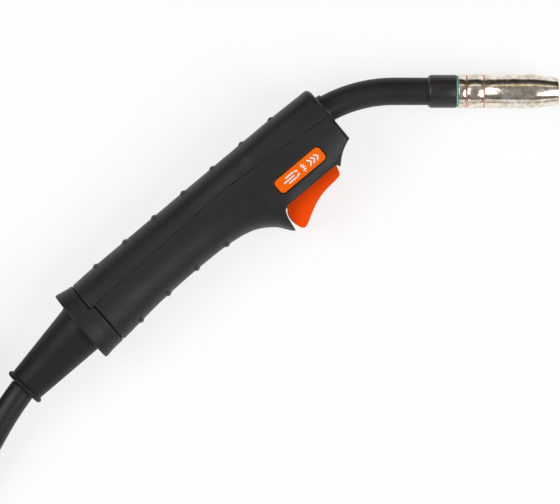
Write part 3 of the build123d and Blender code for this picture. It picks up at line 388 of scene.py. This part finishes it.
def front_inset(distance):
    """How far the front edge's rounding pulls the surface in."""
    if distance >= FRONT_ROUNDING:
        return 0.0
    rest = FRONT_ROUNDING - distance
    return FRONT_ROUNDING - math.sqrt(max(FRONT_ROUNDING**2 - rest**2, 0.0))


def grip_hollow():
    rings = []
    start, end = GRIP_STATIONS[0][0] - 10, GRIP_STATIONS[-1][0] - WALL
    steps = 60
    for step in range(steps + 1):
        s = start + (end - start) * step / steps
        rings.append(section_ring(s, grip_at(s), WALL, 60))
    return tube_of_rings("grip_hollow", rings)


def opening_outline():
    centre_s, centre_t = CHIN_CENTRE
    low = math.atan2(CHIN_POINT[1] - centre_t, CHIN_POINT[0] - centre_s) % (2 * math.pi)
    top = math.atan2(CHIN_TOP - centre_t, HANDLE_FRONT + 0.6 - centre_s)
    arc = [(centre_s + CHIN_RADIUS * math.cos(low + (top - low) * n / 24),
            centre_t + CHIN_RADIUS * math.sin(low + (top - low) * n / 24)) for n in range(25)]
    horn = smooth_line(HORN_FRONT, 6)
    return [(HORN_FRONT[0][0] - 0.4, -60.0), *horn, (CHIN_POINT[0] - 1.0, EDGE_OVER_TRIGGER), *arc,
            (110.0, arc[-1][1]), (110.0, -60.0)]


def seam_outline(above, gap):
    line = smooth_line(SEAM, 12)
    shift = gap if above else -gap
    far = 60.0 if above else -60.0
    return [(s, t + shift) for s, t in line] + [(SEAM[-1][0], far), (SEAM[0][0], far)]


def label_place(side, depth):
    middle = HEAD_HALF - LABEL_SINK
    lean = math.radians(LABEL_TILT)
    normal = Vector((0, -math.sin(lean), side * math.cos(lean)))
    across = normal.cross(Vector((1, 0, 0)))
    origin = Vector((LABEL_CENTRE[0], LABEL_CENTRE[1], side * middle)) - normal * depth
    matrix = Matrix((Vector((1, 0, 0)), across, normal)).transposed().to_4x4()
    return Matrix.Translation(origin) @ matrix


def neck_ring_place():
    middle = (FERRULE_START + HANDLE_FRONT) / 2
    lean = math.asin((middle - NECK_ENTRY_S) / NECK_BEND)
    drop = NECK_BEND * (1 - math.cos(lean))
    return Matrix.Translation((middle, NECK_ENTRY_T - drop, 0)) @ Matrix.Rotation(-lean, 4, "Z")


def screw_recess(s, above):
    if above:
        obj = rod("screw", SCREW_HEAD_RADIUS, BACK - SCREW_SINK - SCREW_HEAD_HEIGHT, 40, segments=40)
    else:
        top = -SCREW_UNDERSIDE + SCREW_SINK + SCREW_HEAD_HEIGHT
        obj = rod("screw", SCREW_HEAD_RADIUS, -40, top, segments=40)
    obj.data.transform(Matrix.Translation((s, 0, 0)) @ Matrix.Rotation(math.pi / 2, 4, "Z"))
    return obj


def make_handle(material):
    body = grip_body()
    cut(body, grip_hollow())
    cut(body, prism("opening", opening_outline(), -40, 40))
    s0, s1, t0, t1, half = POCKET
    cut(body, prism("pocket", ((s0, t0), (s1, t0), (s1, t1), (s0, t1)), -half, half))
    hole = rod("hole", NECK_RADIUS + 0.8, -12, 12, segments=72)
    hole.data.transform(neck_ring_place())
    cut(body, hole)
    cut(body, screw_recess(TOP_SCREW_S, True))
    cut(body, screw_recess(BOTTOM_SCREW_S, False))
    for side in (1, -1):
        length, height, radius = LABEL_SIZE
        recess = prism("recess", rounded_rectangle(length + 2 * LABEL_GAP, height + 2 * LABEL_GAP,
                                                   radius + LABEL_GAP), 0.0, 8.0)
        recess.data.transform(label_place(side, 1.0))
        cut(body, recess)
    for above in (True, False):
        name = "handle_shell_" + ("top" if above else "bottom")
        shell = bpy.data.objects.new(name, body.data.copy())
        bpy.context.scene.collection.objects.link(shell)
        side = prism("side", seam_outline(above, SEAM_GAP / 2), -40, 40)
        cut(shell, side, "INTERSECT")
        end = HANDLE_REAR_TOP if above else HANDLE_REAR_BOTTOM
        cut(shell, rod("rear", 60, end - 40, end))
        soften(shell, 0.42, 2)
        node = "handle_" + ("top" if above else "bottom") + "_shell"
        finish_piece(shell, "torch", material, (node,), HANDLE, 180.0)
    bpy.data.objects.remove(body)


def make_collar(material):
    stations = ((-83.0, (20.3, 21.4, 37.6)), (-82.6, (20.5, 21.6, 38.0)), (-80.5, (20.1, 21.4, 37.7)),
                (-78.0, (19.6, 20.9, 37.3)), (-75.0, (19.1, 20.6, 36.7)),
                (HANDLE_REAR_BOTTOM - 0.35, (18.7, 20.3, 36.4)))
    rings = [section_ring(s, (*h, 2.2), 0.0, 120) for s, h in stations]
    collar = tube_of_rings("rear_collar_skin", rings)
    step = prism("step", ((HANDLE_REAR_TOP - 0.35, 2.8), (-60.0, 2.8), (-60.0, 60.0),
                          (HANDLE_REAR_TOP - 0.35, 60.0)), -40, 40)
    cut(collar, step)
    arc = [(SEAT_RADIUS * math.cos(math.pi * n / 48), SEAT_RADIUS * math.sin(math.pi * n / 48))
           for n in range(49)]
    ball = turned("ball", arc, 96, False)
    ball.data.transform(Matrix.Translation((*BALL, 0)))
    cut(collar, ball)
    cut(collar, rod("bore", SPIGOT_RADIUS + 0.05, BALL[0] + 5.0, -60, BALL[1], segments=96))
    soften(collar, 0.42, 4)
    return finish_piece(collar, "torch", material, ("rear_collar",), HANDLE, 180.0)


def make_labels(plate_material, mark_material):
    length, height, radius = LABEL_SIZE
    for side, word in ((1, "near"), (-1, "far")):
        plate = prism("label_" + word, rounded_rectangle(length, height, radius), -0.97, 0.0)
        bevel = plate.modifiers.new("bevel", "BEVEL")
        bevel.width = 0.22
        bevel.segments = 3
        bevel.limit_method = "ANGLE"
        bake_modifiers(plate)
        place = HANDLE @ label_place(side, 0.0)
        finish_piece(plate, "torch", plate_material, ("label_plate_" + word,), place)
        marks = label_marks("label_marks_" + word)
        finish_piece(marks, "torch", mark_material, (), place)


def label_marks(name):
    """A generic sign: a wire running out of a nozzle outline, and an arc's rays."""
    bars = []
    thick = 0.75
    bars.append(((-10.6, 0.0), (-4.2, 0.0), thick))
    for y in (-1.35, 1.35):
        bars.append(((-8.6, y * 1.25), (-3.4, y * 1.25), thick))
        bars.append(((-3.4, y * 1.25), (-1.4, y * 0.72), thick))
    for degrees in (-60, -30, 0, 30, 60):
        angle = math.radians(degrees)
        bars.append(((0.9 + 1.3 * math.cos(angle), 1.3 * math.sin(angle)),
                     (0.9 + 2.6 * math.cos(angle), 2.6 * math.sin(angle)), 0.55))
    for number in range(3):
        x = 6.0 + 2.3 * number
        bars.append(((x, 1.7), (x + 1.5, 0.0), thick))
        bars.append(((x, -1.7), (x + 1.5, 0.0), thick))
    verts, faces = [], []
    for (x0, y0), (x1, y1), width in bars:
        along = Vector((x1 - x0, y1 - y0)).normalized()
        side = Vector((-along.y, along.x)) * width / 2
        reach = along * width / 3
        corners = [(x0 - reach.x + side.x, y0 - reach.y + side.y),
                   (x0 - reach.x - side.x, y0 - reach.y - side.y),
                   (x1 + reach.x - side.x, y1 + reach.y - side.y),
                   (x1 + reach.x + side.x, y1 + reach.y + side.y)]
        base = len(verts)
        verts += [(x, y, -0.05) for x, y in corners] + [(x, y, 0.06) for x, y in corners]
        faces += [tuple(base + k for k in f) for f in (
            (0, 1, 2, 3), (7, 6, 5, 4), (0, 4, 5, 1), (1, 5, 6, 2), (2, 6, 7, 3), (3, 7, 4, 0))]
    return new_object(name, verts, faces)


def make_trigger(material):
    corners = smooth_line(TRIGGER_OUTLINE[:14], 5)
    outline = corners + [TRIGGER_OUTLINE[14], (74.9, -18.7)]
    lever = prism("trigger_lever", outline, -TRIGGER_HALF, TRIGGER_HALF)
    cut(lever, prism("hollow", ((44.5, -23.5), (68.0, -23.5), (68.0, -10.0), (44.5, -10.0)), -6.3, 6.3))
    arm = prism("arm", ((54.0, -24.5), (58.0, -24.5), (58.0, -14.9), (54.0, -14.9)), -3.0, 3.0)
    cut(lever, arm, "UNION")
    hub = rod("hub", 2.9, -TRIGGER_HALF, TRIGGER_HALF, segments=48)
    hub.data.transform(Matrix.Translation((*TRIGGER_PIVOT, 0)) @ Matrix.Rotation(math.pi / 2, 4, "Y"))
    cut(lever, hub, "UNION")
    seat = rod("seat", 3.1, -26.0, -18.7, segments=40)
    seat.data.transform(Matrix.Translation((RETURN_SPRING_S, 0, 0)) @ Matrix.Rotation(math.pi / 2, 4, "Z"))
    cut(lever, seat, "UNION")
    pin = rod("pin", 1.55, -30, 30, segments=40)
    pin.data.transform(Matrix.Translation((*TRIGGER_PIVOT, 0)) @ Matrix.Rotation(math.pi / 2, 4, "Y"))
    cut(lever, pin)
    soften(lever, 0.25, 5)
    return finish_piece(lever, "trigger", material, ("trigger",), HANDLE, 180.0)


# ---------------------------------------------------------------- neck and nozzle
def neck_points(front_x, end_s):
    """The neck's centre line: straight, bend, straight; with the heading at each point."""
    points = []
    count = 18
    for n in range(count):
        x = front_x + (-NECK_STRAIGHT - front_x) * n / count
        points.append((Vector((x, 0, 0)), math.pi))
    for n in range(41):
        angle = TURN * n / 40
        points.append((Vector((-NECK_STRAIGHT - NECK_BEND * math.sin(angle),
                               -NECK_BEND * (1 - math.cos(angle)), 0)), math.pi + angle))
    last = HANDLE @ Vector((end_s, NECK_ENTRY_T, 0))
    first = points[-1][0]
    for n in range(1, 9):
        points.append((first.lerp(last, n / 8), math.pi + TURN))
    return points


def swept(name, points, outer, inner, segments=64):
    """A tube with flat ends along points."""
    rings = []
    for radius, order in ((outer, 1), (inner, -1)):
        for centre, heading in points[::order]:
            side = Vector((-math.sin(heading), math.cos(heading), 0))
            rings.append([centre + side * radius * math.cos(2 * math.pi * k / segments)
                          + Vector((0, 0, radius * math.sin(2 * math.pi * k / segments)))
                          for k in range(segments)])
    verts = [v for ring in rings for v in ring]
    faces = []
    for row in range(len(rings)):
        after = (row + 1) % len(rings)
        for k in range(segments):
            beside = (k + 1) % segments
            faces.append((row * segments + k, row * segments + beside,
                          after * segments + beside, after * segments + k))
    return fix_normals(new_object(name, verts, faces))


def make_neck(jacket_material, sleeve_material, ferrule_material):
    jacket = swept("neck_jacket", neck_points(-JACKET_FRONT, JACKET_START_S), NECK_RADIUS, NECK_TUBE_RADIUS)
    finish_piece(jacket, "torch", jacket_material, ("neck_insulation",), None)
    front, rear = -SLEEVE_FRONT, -SLEEVE_FRONT - SLEEVE_LENGTH
    outer = SLEEVE_RADIUS
    sleeve = turned("neck_sleeve", (
        (rear, NECK_RADIUS + 0.05), (rear, outer - 1.1), (rear + 0.15, outer - 0.85),
        (rear + SLEEVE_CHAMFER - 0.3, outer - 0.12), (rear + SLEEVE_CHAMFER + 0.2, outer),
        (front - 0.6, outer), (front - 0.2, outer - 0.15), (front, outer - 0.5),
        (front, 5.05), (-JACKET_FRONT, 5.05), (-JACKET_FRONT, NECK_RADIUS + 0.05),
    ))
    finish_piece(sleeve, "torch", sleeve_material, ("neck_end_sleeve",), None)
    place = HANDLE @ neck_ring_place()
    outer = NECK_RADIUS + 0.75
    middle = (FERRULE_START + HANDLE_FRONT) / 2
    start = FERRULE_START - middle
    end = HANDLE_FRONT + FERRULE_PROUD - middle
    ferrule = turned("neck_ferrule_ring", (
        (start, NECK_RADIUS + 0.06), (start, outer), (end - 0.4, outer), (end - 0.1, outer - 0.12),
        (end, outer - 0.35), (end, NECK_RADIUS + 0.06),
    ))
    finish_piece(ferrule, "torch", ferrule_material, ("neck_ferrule",), place)


def make_nozzle(plate_material, copper_material):
    rear = -NOZZLE_LENGTH
    outer = NOZZLE_RADIUS
    profile = [(rear, NOZZLE_BORE), (rear, outer - 0.3), (rear + 0.09, outer - 0.09), (rear + 0.3, outer)]
    grooves = []
    for place in sorted(GROOVES, reverse=True):
        profile += [(-place - 0.62, outer), (-place - 0.5, outer - 0.1), (-place - 0.42, outer - 0.32),
                    (-place + 0.42, outer - 0.32), (-place + 0.5, outer - 0.1), (-place + 0.62, outer)]
        grooves.append(-place)
    knee = 1.2
    slope = (outer - NOZZLE_MOUTH_RADIUS) / NOZZLE_TAPER
    for n in range(9):
        x = -NOZZLE_TAPER - knee + 2 * knee * n / 8
        profile.append((x, outer - slope * (x + NOZZLE_TAPER + knee) ** 2 / (4 * knee)))
    mouth = NOZZLE_MOUTH_RADIUS
    profile += [(-0.5, mouth + 0.08), (-0.25, mouth), (-0.08, mouth - 0.12), (0, mouth - 0.35),
                (0, NOZZLE_MOUTH_BORE + 0.25), (-0.25, NOZZLE_MOUTH_BORE), (-NOZZLE_TAPER, NOZZLE_MOUTH_BORE),
                (-NOZZLE_TAPER * 2.4, NOZZLE_BORE)]
    nozzle = turned("gas_nozzle_shell", profile, 128)
    finish_piece(nozzle, "nozzle", plate_material, ("gas_nozzle",), None, 50.0)
    for number, x in enumerate(grooves):
        band = turned(f"nozzle_groove_{number + 1}", (
            (x - 0.44, outer - 0.4), (x - 0.44, outer - 0.27), (x - 0.2, outer - 0.22),
            (x + 0.2, outer - 0.22),
            (x + 0.44, outer - 0.27), (x + 0.44, outer - 0.4)), 128)
        finish_piece(band, "nozzle", copper_material, (), None)


# ---------------------------------------------------------------- boot
def make_boot(material):
    start = math.sqrt(BALL_RADIUS**2 - BOOT_ROOT**2)
    end = BOOT_MOUTH
    profile = []
    for n in range(25):
        angle = math.radians(114.0) * (1 - n / 24) + math.atan2(BOOT_ROOT, start) * n / 24
        profile.append((BALL_RADIUS * math.cos(angle), BALL_RADIUS * math.sin(angle)))
    cone = end - 2 * BEAD_RADIUS - start
    for n in range(1, 13):
        profile.append((start + cone * n / 12, BOOT_ROOT + (BOOT_TIP - BOOT_ROOT) * n / 12))
    for n in range(1, 13):
        angle = math.pi * (1 - n / 12)
        profile.append((end - BEAD_RADIUS + BEAD_RADIUS * math.cos(angle),
                        BOOT_TIP + BEAD_RADIUS * math.sin(angle)))
    profile += [(end, CABLE_RADIUS + 0.9), (end - 0.5, CABLE_RADIUS + 0.25),
                (end - 1.5, CABLE_RADIUS + 0.08), (start, CABLE_RADIUS + 0.08)]
    inner = 12.4
    for n in range(17):
        angle = math.radians(36 + 78 * n / 16)
        profile.append((inner * math.cos(angle), inner * math.sin(angle)))
    boot = turned("boot_skin", profile, 112)
    return finish_piece(boot, "cable_side", material, ("cable_boot",), BOOT, 40.0)


# ---------------------------------------------------------------- cable
CABLE_ROUTE = (
    (-8.4, -11.2, 18.6), (-21.0, -33.9, 14.6), (-36.8, -61.5, 9.2), (-62.4, -82.9, 7.0),
    (-93.6, -93.6, 7.0),
)
COIL_OFFSET = (-119.0, -2.9)
TAIL_ROUTE = ((-59.4, -59.4), (-86.2, -35.3), (-102.4, 1.2), (-102.4, 39.2))
LOW_TURNS = ((91.0, 7.0), (77.0, 7.0), (63.0, 7.0))
HIGH_TURNS = ((70.0, 21.0), (84.0, 21.0))
TURN_POINTS = 16
PLUG_HEIGHT = 21.0


def coil_points():
    """Turns of the put-away cable, laid clockwise from the bottom of the ring, three below two."""
    turns = LOW_TURNS + HIGH_TURNS
    points = []
    total = TURN_POINTS * len(turns)
    swing = -360.0 * len(turns) - 45.0
    last = int(total + TURN_POINTS / 8)
    for n in range(last + 1):
        degrees = 270.0 + swing * n / last
        place = n / TURN_POINTS
        turn = min(int(place), len(turns) - 1)
        radius, height = turns[turn]
        share = place - turn
        if turn + 1 < len(turns) and share > 0.75:
            blend = (share - 0.75) / 0.25
            blend = blend * blend * (3 - 2 * blend)
            radius += (turns[turn + 1][0] - radius) * blend
            height += (turns[turn + 1][1] - height) * blend
        angle = math.radians(degrees)
        points.append((radius * math.cos(angle), radius * math.sin(angle), height))
    return points


def cable_route():
    """All control points of the cable in the frame, from the boot's mouth to the plug."""
    exit_point = TO_FRAME @ EXIT
    points = [exit_point]
    for dx, dy, height in CABLE_ROUTE:
        points.append(Vector((exit_point.x + dx * MM, exit_point.y + dy * MM, FLOOR + height * MM)))
    centre = Vector((exit_point.x + COIL_OFFSET[0] * MM, exit_point.y + COIL_OFFSET[1] * MM, FLOOR))
    for x, y, z in coil_points():
        points.append(centre + Vector((x, y, z)) * MM)
    for x, y in TAIL_ROUTE[1:]:
        points.append(centre + Vector((x, y, PLUG_HEIGHT)) * MM)
    return points


def make_cable(material):
    curve = bpy.data.curves.new("torch_cable_line", "CURVE")
    curve.dimensions = "3D"
    spline = curve.splines.new("NURBS")
    points = cable_route()
    spline.points.add(len(points) - 1)
    for point, place in zip(spline.points, points):
        point.co = (*place, 1.0)
    spline.order_u = 3
    spline.use_endpoint_u = True
    spline.resolution_u = 10
    curve.bevel_depth = CABLE_RADIUS * MM
    curve.bevel_resolution = 10
    curve.use_fill_caps = True
    cable = bpy.data.objects.new("torch_cable_line", curve)
    bpy.context.scene.collection.objects.link(cable)
    curve.materials.append(material)
    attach(cable, "cable_side")
    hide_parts("torch_cable", "cable_coil", "cable_tail")
    return cable


# ---------------------------------------------------------------- materials
def material(name, colour, roughness, metallic=0.0, specular=0.5):
    """A principled material with its fixed numbers on the shader's own sockets."""
    made = bpy.data.materials.new(name)
    made.use_nodes = True
    shader = made.node_tree.nodes["Principled BSDF"]
    shader.inputs["Base Color"].default_value = (*colour, 1.0)
    shader.inputs["Roughness"].default_value = roughness
    shader.inputs["Metallic"].default_value = metallic
    shader.inputs["Specular IOR Level"].default_value = specular
    return made, made.node_tree, shader


def coordinates(tree):
    return tree.nodes.new("ShaderNodeTexCoord").outputs["Object"]


def noise(tree, scale, detail=3.0, stretch=None):
    node = tree.nodes.new("ShaderNodeTexNoise")
    node.inputs["Scale"].default_value = scale
    node.inputs["Detail"].default_value = detail
    source = coordinates(tree)
    if stretch:
        mapping = tree.nodes.new("ShaderNodeMapping")
        mapping.inputs["Scale"].default_value = stretch
        tree.links.new(source, mapping.inputs["Vector"])
        source = mapping.outputs["Vector"]
    tree.links.new(source, node.inputs["Vector"])
    return node.outputs["Fac"]


def spread(tree, value, low, high, source_low=0.3, source_high=0.7):
    """A value's range mapped to another range."""
    node = tree.nodes.new("ShaderNodeMapRange")
    node.inputs["From Min"].default_value = source_low
    node.inputs["From Max"].default_value = source_high
    node.inputs["To Min"].default_value = low
    node.inputs["To Max"].default_value = high
    tree.links.new(value, node.inputs["Value"])
    return node.outputs["Result"]


def tint(tree, value, colour_a, colour_b, low=0.35, high=0.65):
    ramp = tree.nodes.new("ShaderNodeValToRGB")
    ramp.color_ramp.elements[0].position = low
    ramp.color_ramp.elements[1].position = high
    ramp.color_ramp.elements[0].color = (*colour_a, 1.0)
    ramp.color_ramp.elements[1].color = (*colour_b, 1.0)
    tree.links.new(value, ramp.inputs["Fac"])
    return ramp.outputs["Color"]


def bump(tree, shader, value, strength, distance):
    node = tree.nodes.new("ShaderNodeBump")
    node.inputs["Strength"].default_value = strength
    node.inputs["Distance"].default_value = distance
    tree.links.new(value, node.inputs["Height"])
    tree.links.new(node.outputs["Normal"], shader.inputs["Normal"])


def moulded(name, dark, light, rough_low, rough_high, grain=1400.0, depth=0.25, gloss=0.45):
    """Moulded plastic or rubber: fine spark-eroded grain, slight clouding and worn patches."""
    made, tree, shader = material(name, light, rough_high, 0.0, gloss)
    cloud = noise(tree, 26.0, 4.0)
    tree.links.new(tint(tree, cloud, dark, light), shader.inputs["Base Color"])
    wear = noise(tree, 90.0, 5.0)
    tree.links.new(spread(tree, wear, rough_low, rough_high), shader.inputs["Roughness"])
    bump(tree, shader, noise(tree, grain, 2.0), depth, 0.00006)
    return made


def scratched_metal(name, dark, light, rough_low, rough_high, stretch=(60.0, 1.0, 1.0), scale=40.0):
    """Turned and plated metal: fine circumferential marks and small stains."""
    made, tree, shader = material(name, light, rough_high, 1.0, 0.5)
    stain = noise(tree, 130.0, 5.0)
    tree.links.new(tint(tree, stain, dark, light), shader.inputs["Base Color"])
    marks = noise(tree, scale, 3.0, stretch)
    tree.links.new(spread(tree, marks, rough_low, rough_high), shader.inputs["Roughness"])
    bump(tree, shader, marks, 0.12, 0.00003)
    return made


def nozzle_finish():
    """Bright nickel plate that is mottled by fine spatter on its flanks."""
    made, tree, shader = material("nickel_plate", (0.83, 0.77, 0.68), 0.12, 1.0, 0.5)
    stain = noise(tree, 320.0, 6.0)
    tree.links.new(tint(tree, stain, (0.62, 0.52, 0.38), (0.88, 0.83, 0.76), 0.38, 0.6),
                   shader.inputs["Base Color"])
    specks = noise(tree, 900.0, 4.0, (0.6, 1.0, 1.0))
    tree.links.new(spread(tree, specks, 0.07, 0.26), shader.inputs["Roughness"])
    bump(tree, shader, specks, 0.2, 0.00004)
    return made


def make_materials():
    paint = {}
    paint["shell"] = moulded(
        "shell_plastic", (0.009, 0.009, 0.0093), (0.012, 0.012, 0.0123), 0.42, 0.54, 1400.0, 0.25, 0.36)
    paint["collar"] = moulded(
        "collar_rubber", (0.009, 0.009, 0.0093), (0.012, 0.012, 0.0123), 0.44, 0.56, 1400.0, 0.25, 0.34)
    paint["boot"] = moulded("boot_rubber", (0.007, 0.007, 0.0073), (0.010, 0.010, 0.0103), 0.46, 0.60, 900.0,
                            0.25, 0.28)
    paint["jacket"] = moulded(
        "neck_rubber", (0.009, 0.009, 0.0093), (0.012, 0.012, 0.0123), 0.42, 0.56, 1100.0, 0.25, 0.36)
    paint["sleeve"] = moulded("sleeve_plastic", (0.013, 0.013, 0.0135), (0.018, 0.018, 0.0185), 0.32, 0.46)
    paint["cable"] = moulded(
        "cable_jacket", (0.010, 0.010, 0.0103), (0.013, 0.013, 0.0133), 0.40, 0.54, 700.0, 0.25, 0.36)
    paint["trigger"] = moulded(
        "trigger_plastic", (0.93, 0.068, 0.001), (0.99, 0.078, 0.002), 0.5, 0.62, 1400.0, 0.15, 0.05)
    paint["label"] = moulded("label_plastic", (0.87, 0.12, 0.001), (0.92, 0.14, 0.002), 0.46, 0.58, 1400.0,
                             0.1, 0.06)
    paint["marks"] = moulded("label_ink", (0.84, 0.80, 0.76), (0.92, 0.89, 0.86), 0.45, 0.6, 1400.0, 0.1, 0.3)
    paint["teal"] = moulded("teal_insulator", (0.10, 0.42, 0.33), (0.16, 0.55, 0.44), 0.3, 0.5)
    paint["liner"] = moulded("natural_nylon", (0.55, 0.52, 0.46), (0.70, 0.68, 0.62), 0.4, 0.55)
    paint["switch"] = moulded("switch_plastic", (0.03, 0.03, 0.035), (0.05, 0.05, 0.055), 0.35, 0.5)
    paint["lead"] = moulded("lead_jacket", (0.35, 0.02, 0.015), (0.5, 0.04, 0.03), 0.35, 0.5)
    paint["nozzle"] = nozzle_finish()
    paint["copper"] = scratched_metal("drawn_copper", (0.55, 0.26, 0.16), (0.86, 0.50, 0.36), 0.22, 0.4)
    paint["brass"] = scratched_metal("machined_brass", (0.55, 0.38, 0.14), (0.80, 0.60, 0.28), 0.16, 0.34)
    paint["steel"] = scratched_metal("bright_steel", (0.42, 0.42, 0.43), (0.66, 0.66, 0.68), 0.2, 0.38)
    return paint


CAD_FINISHES = {
    "copper": ("contact_tip", "neck_conductor_tube"),
    "brass": ("neck_head", "neck_connector", "cable_crimp", "plug_body", "plug_liner_nut"),
    "steel": ("nozzle_spring", "top_shell_screw", "bottom_shell_screw", "trigger_pin", "trigger_spring",
              "control_pin_upper", "control_pin_lower", "control_pin_spring_upper",
              "control_pin_spring_lower", "plug_retainer"),
    "teal": ("insulating_ring",),
    "liner": ("wire_liner", "ball_joint_liner", "plug_pin_holder"),
    "switch": ("microswitch", "switch_plunger"),
    "lead": ("switch_leads",),
    "cable": ("handle_cable", "cable_in_boot", "cable_in_plug"),
    "boot": ("plug_boot", "plug_o_ring"),
    "shell": ("plug_housing", "plug_nut"),
}


def paint_cad_nodes(paint):
    for finish, names in CAD_FINISHES.items():
        for name in names:
            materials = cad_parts[name].data.materials
            materials.clear()
            materials.append(paint[finish])
            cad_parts[name].data.shade_smooth()
            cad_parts[name].data.set_sharp_from_angle(angle=math.radians(30))


# ---------------------------------------------------------------- floor, lights, world
FLOOR_GLOW = 0.74


def make_floor():
    floor = new_object("floor", [(-4, -4, 0), (4, -4, 0), (4, 4, 0), (-4, 4, 0)], [(0, 1, 2, 3)])
    floor.location.z = FLOOR - 0.0002
    made, tree, shader = material("floor_white", (0.25, 0.25, 0.25), 0.9, 0.0, 0.1)
    shader.inputs["Emission Color"].default_value = (1, 1, 1, 1)
    shader.inputs["Emission Strength"].default_value = FLOOR_GLOW
    floor.data.materials.append(made)


def softbox(name, place, size, power, colour=(1, 1, 1)):
    light = bpy.data.lights.new(name, "AREA")
    light.shape = "RECTANGLE"
    light.size, light.size_y = size
    light.energy = power
    light.color = colour
    obj = bpy.data.objects.new(name, light)
    bpy.context.scene.collection.objects.link(obj)
    obj.location = place
    obj.rotation_euler = (-Vector(place)).to_track_quat("-Z", "Y").to_euler()


# studio brightness by height above the horizon, as the sine of its angle
STUDIO = ((0.0, 0.04), (0.45, 0.04), (0.75, 0.3), (1.0, 0.3))


def make_world():
    """Pale surroundings for the eye; for light and reflections, dark near the horizon and dim above."""
    world = bpy.data.worlds.new("studio")
    bpy.context.scene.world = world
    world.use_nodes = True
    tree = world.node_tree
    tree.nodes.clear()
    output = tree.nodes.new("ShaderNodeOutputWorld")
    mix = tree.nodes.new("ShaderNodeMixShader")
    path = tree.nodes.new("ShaderNodeLightPath")
    seen = tree.nodes.new("ShaderNodeBackground")
    seen.inputs["Color"].default_value = (0.97, 0.97, 0.97, 1)
    lit = tree.nodes.new("ShaderNodeBackground")
    place = tree.nodes.new("ShaderNodeTexCoord")
    split = tree.nodes.new("ShaderNodeSeparateXYZ")
    ramp = tree.nodes.new("ShaderNodeValToRGB")
    while len(ramp.color_ramp.elements) < len(STUDIO):
        ramp.color_ramp.elements.new(0.5)
    for element, (height, grey) in zip(ramp.color_ramp.elements, STUDIO):
        element.position = height
        element.color = (grey, grey, grey, 1)
    tree.links.new(place.outputs["Generated"], split.inputs["Vector"])
    tree.links.new(split.outputs["Z"], ramp.inputs["Fac"])
    tree.links.new(ramp.outputs["Color"], lit.inputs["Color"])
    tree.links.new(path.outputs["Is Camera Ray"], mix.inputs["Fac"])
    tree.links.new(lit.outputs["Background"], mix.inputs[1])
    tree.links.new(seen.outputs["Background"], mix.inputs[2])
    tree.links.new(mix.outputs["Shader"], output.inputs["Surface"])


def make_lights():
    softbox("left_key", (-1.7, 0.1, 1.7), (1.6, 1.6), 31)
    softbox("right_key", (1.6, -0.5, 1.7), (1.6, 1.6), 34)
    softbox("upper_strip", (0.0, 1.5, 1.65), (2.6, 0.4), 2.6, (1.0, 0.8, 0.5))
    softbox("lower_strip", (0.0, -1.9, 0.65), (2.6, 0.9), 6.5)
    make_world()
    bpy.context.scene.view_settings.view_transform = "Standard"


# ---------------------------------------------------------------- the scene
make_camera()
PAINT = make_materials()
make_cable(PAINT["cable"])
make_handle(PAINT["shell"])
make_collar(PAINT["collar"])
make_labels(PAINT["label"], PAINT["marks"])
make_trigger(PAINT["trigger"])
make_neck(PAINT["jacket"], PAINT["sleeve"], PAINT["jacket"])
make_nozzle(PAINT["nozzle"], PAINT["copper"])
make_boot(PAINT["boot"])
paint_cad_nodes(PAINT)
make_floor()
make_lights()
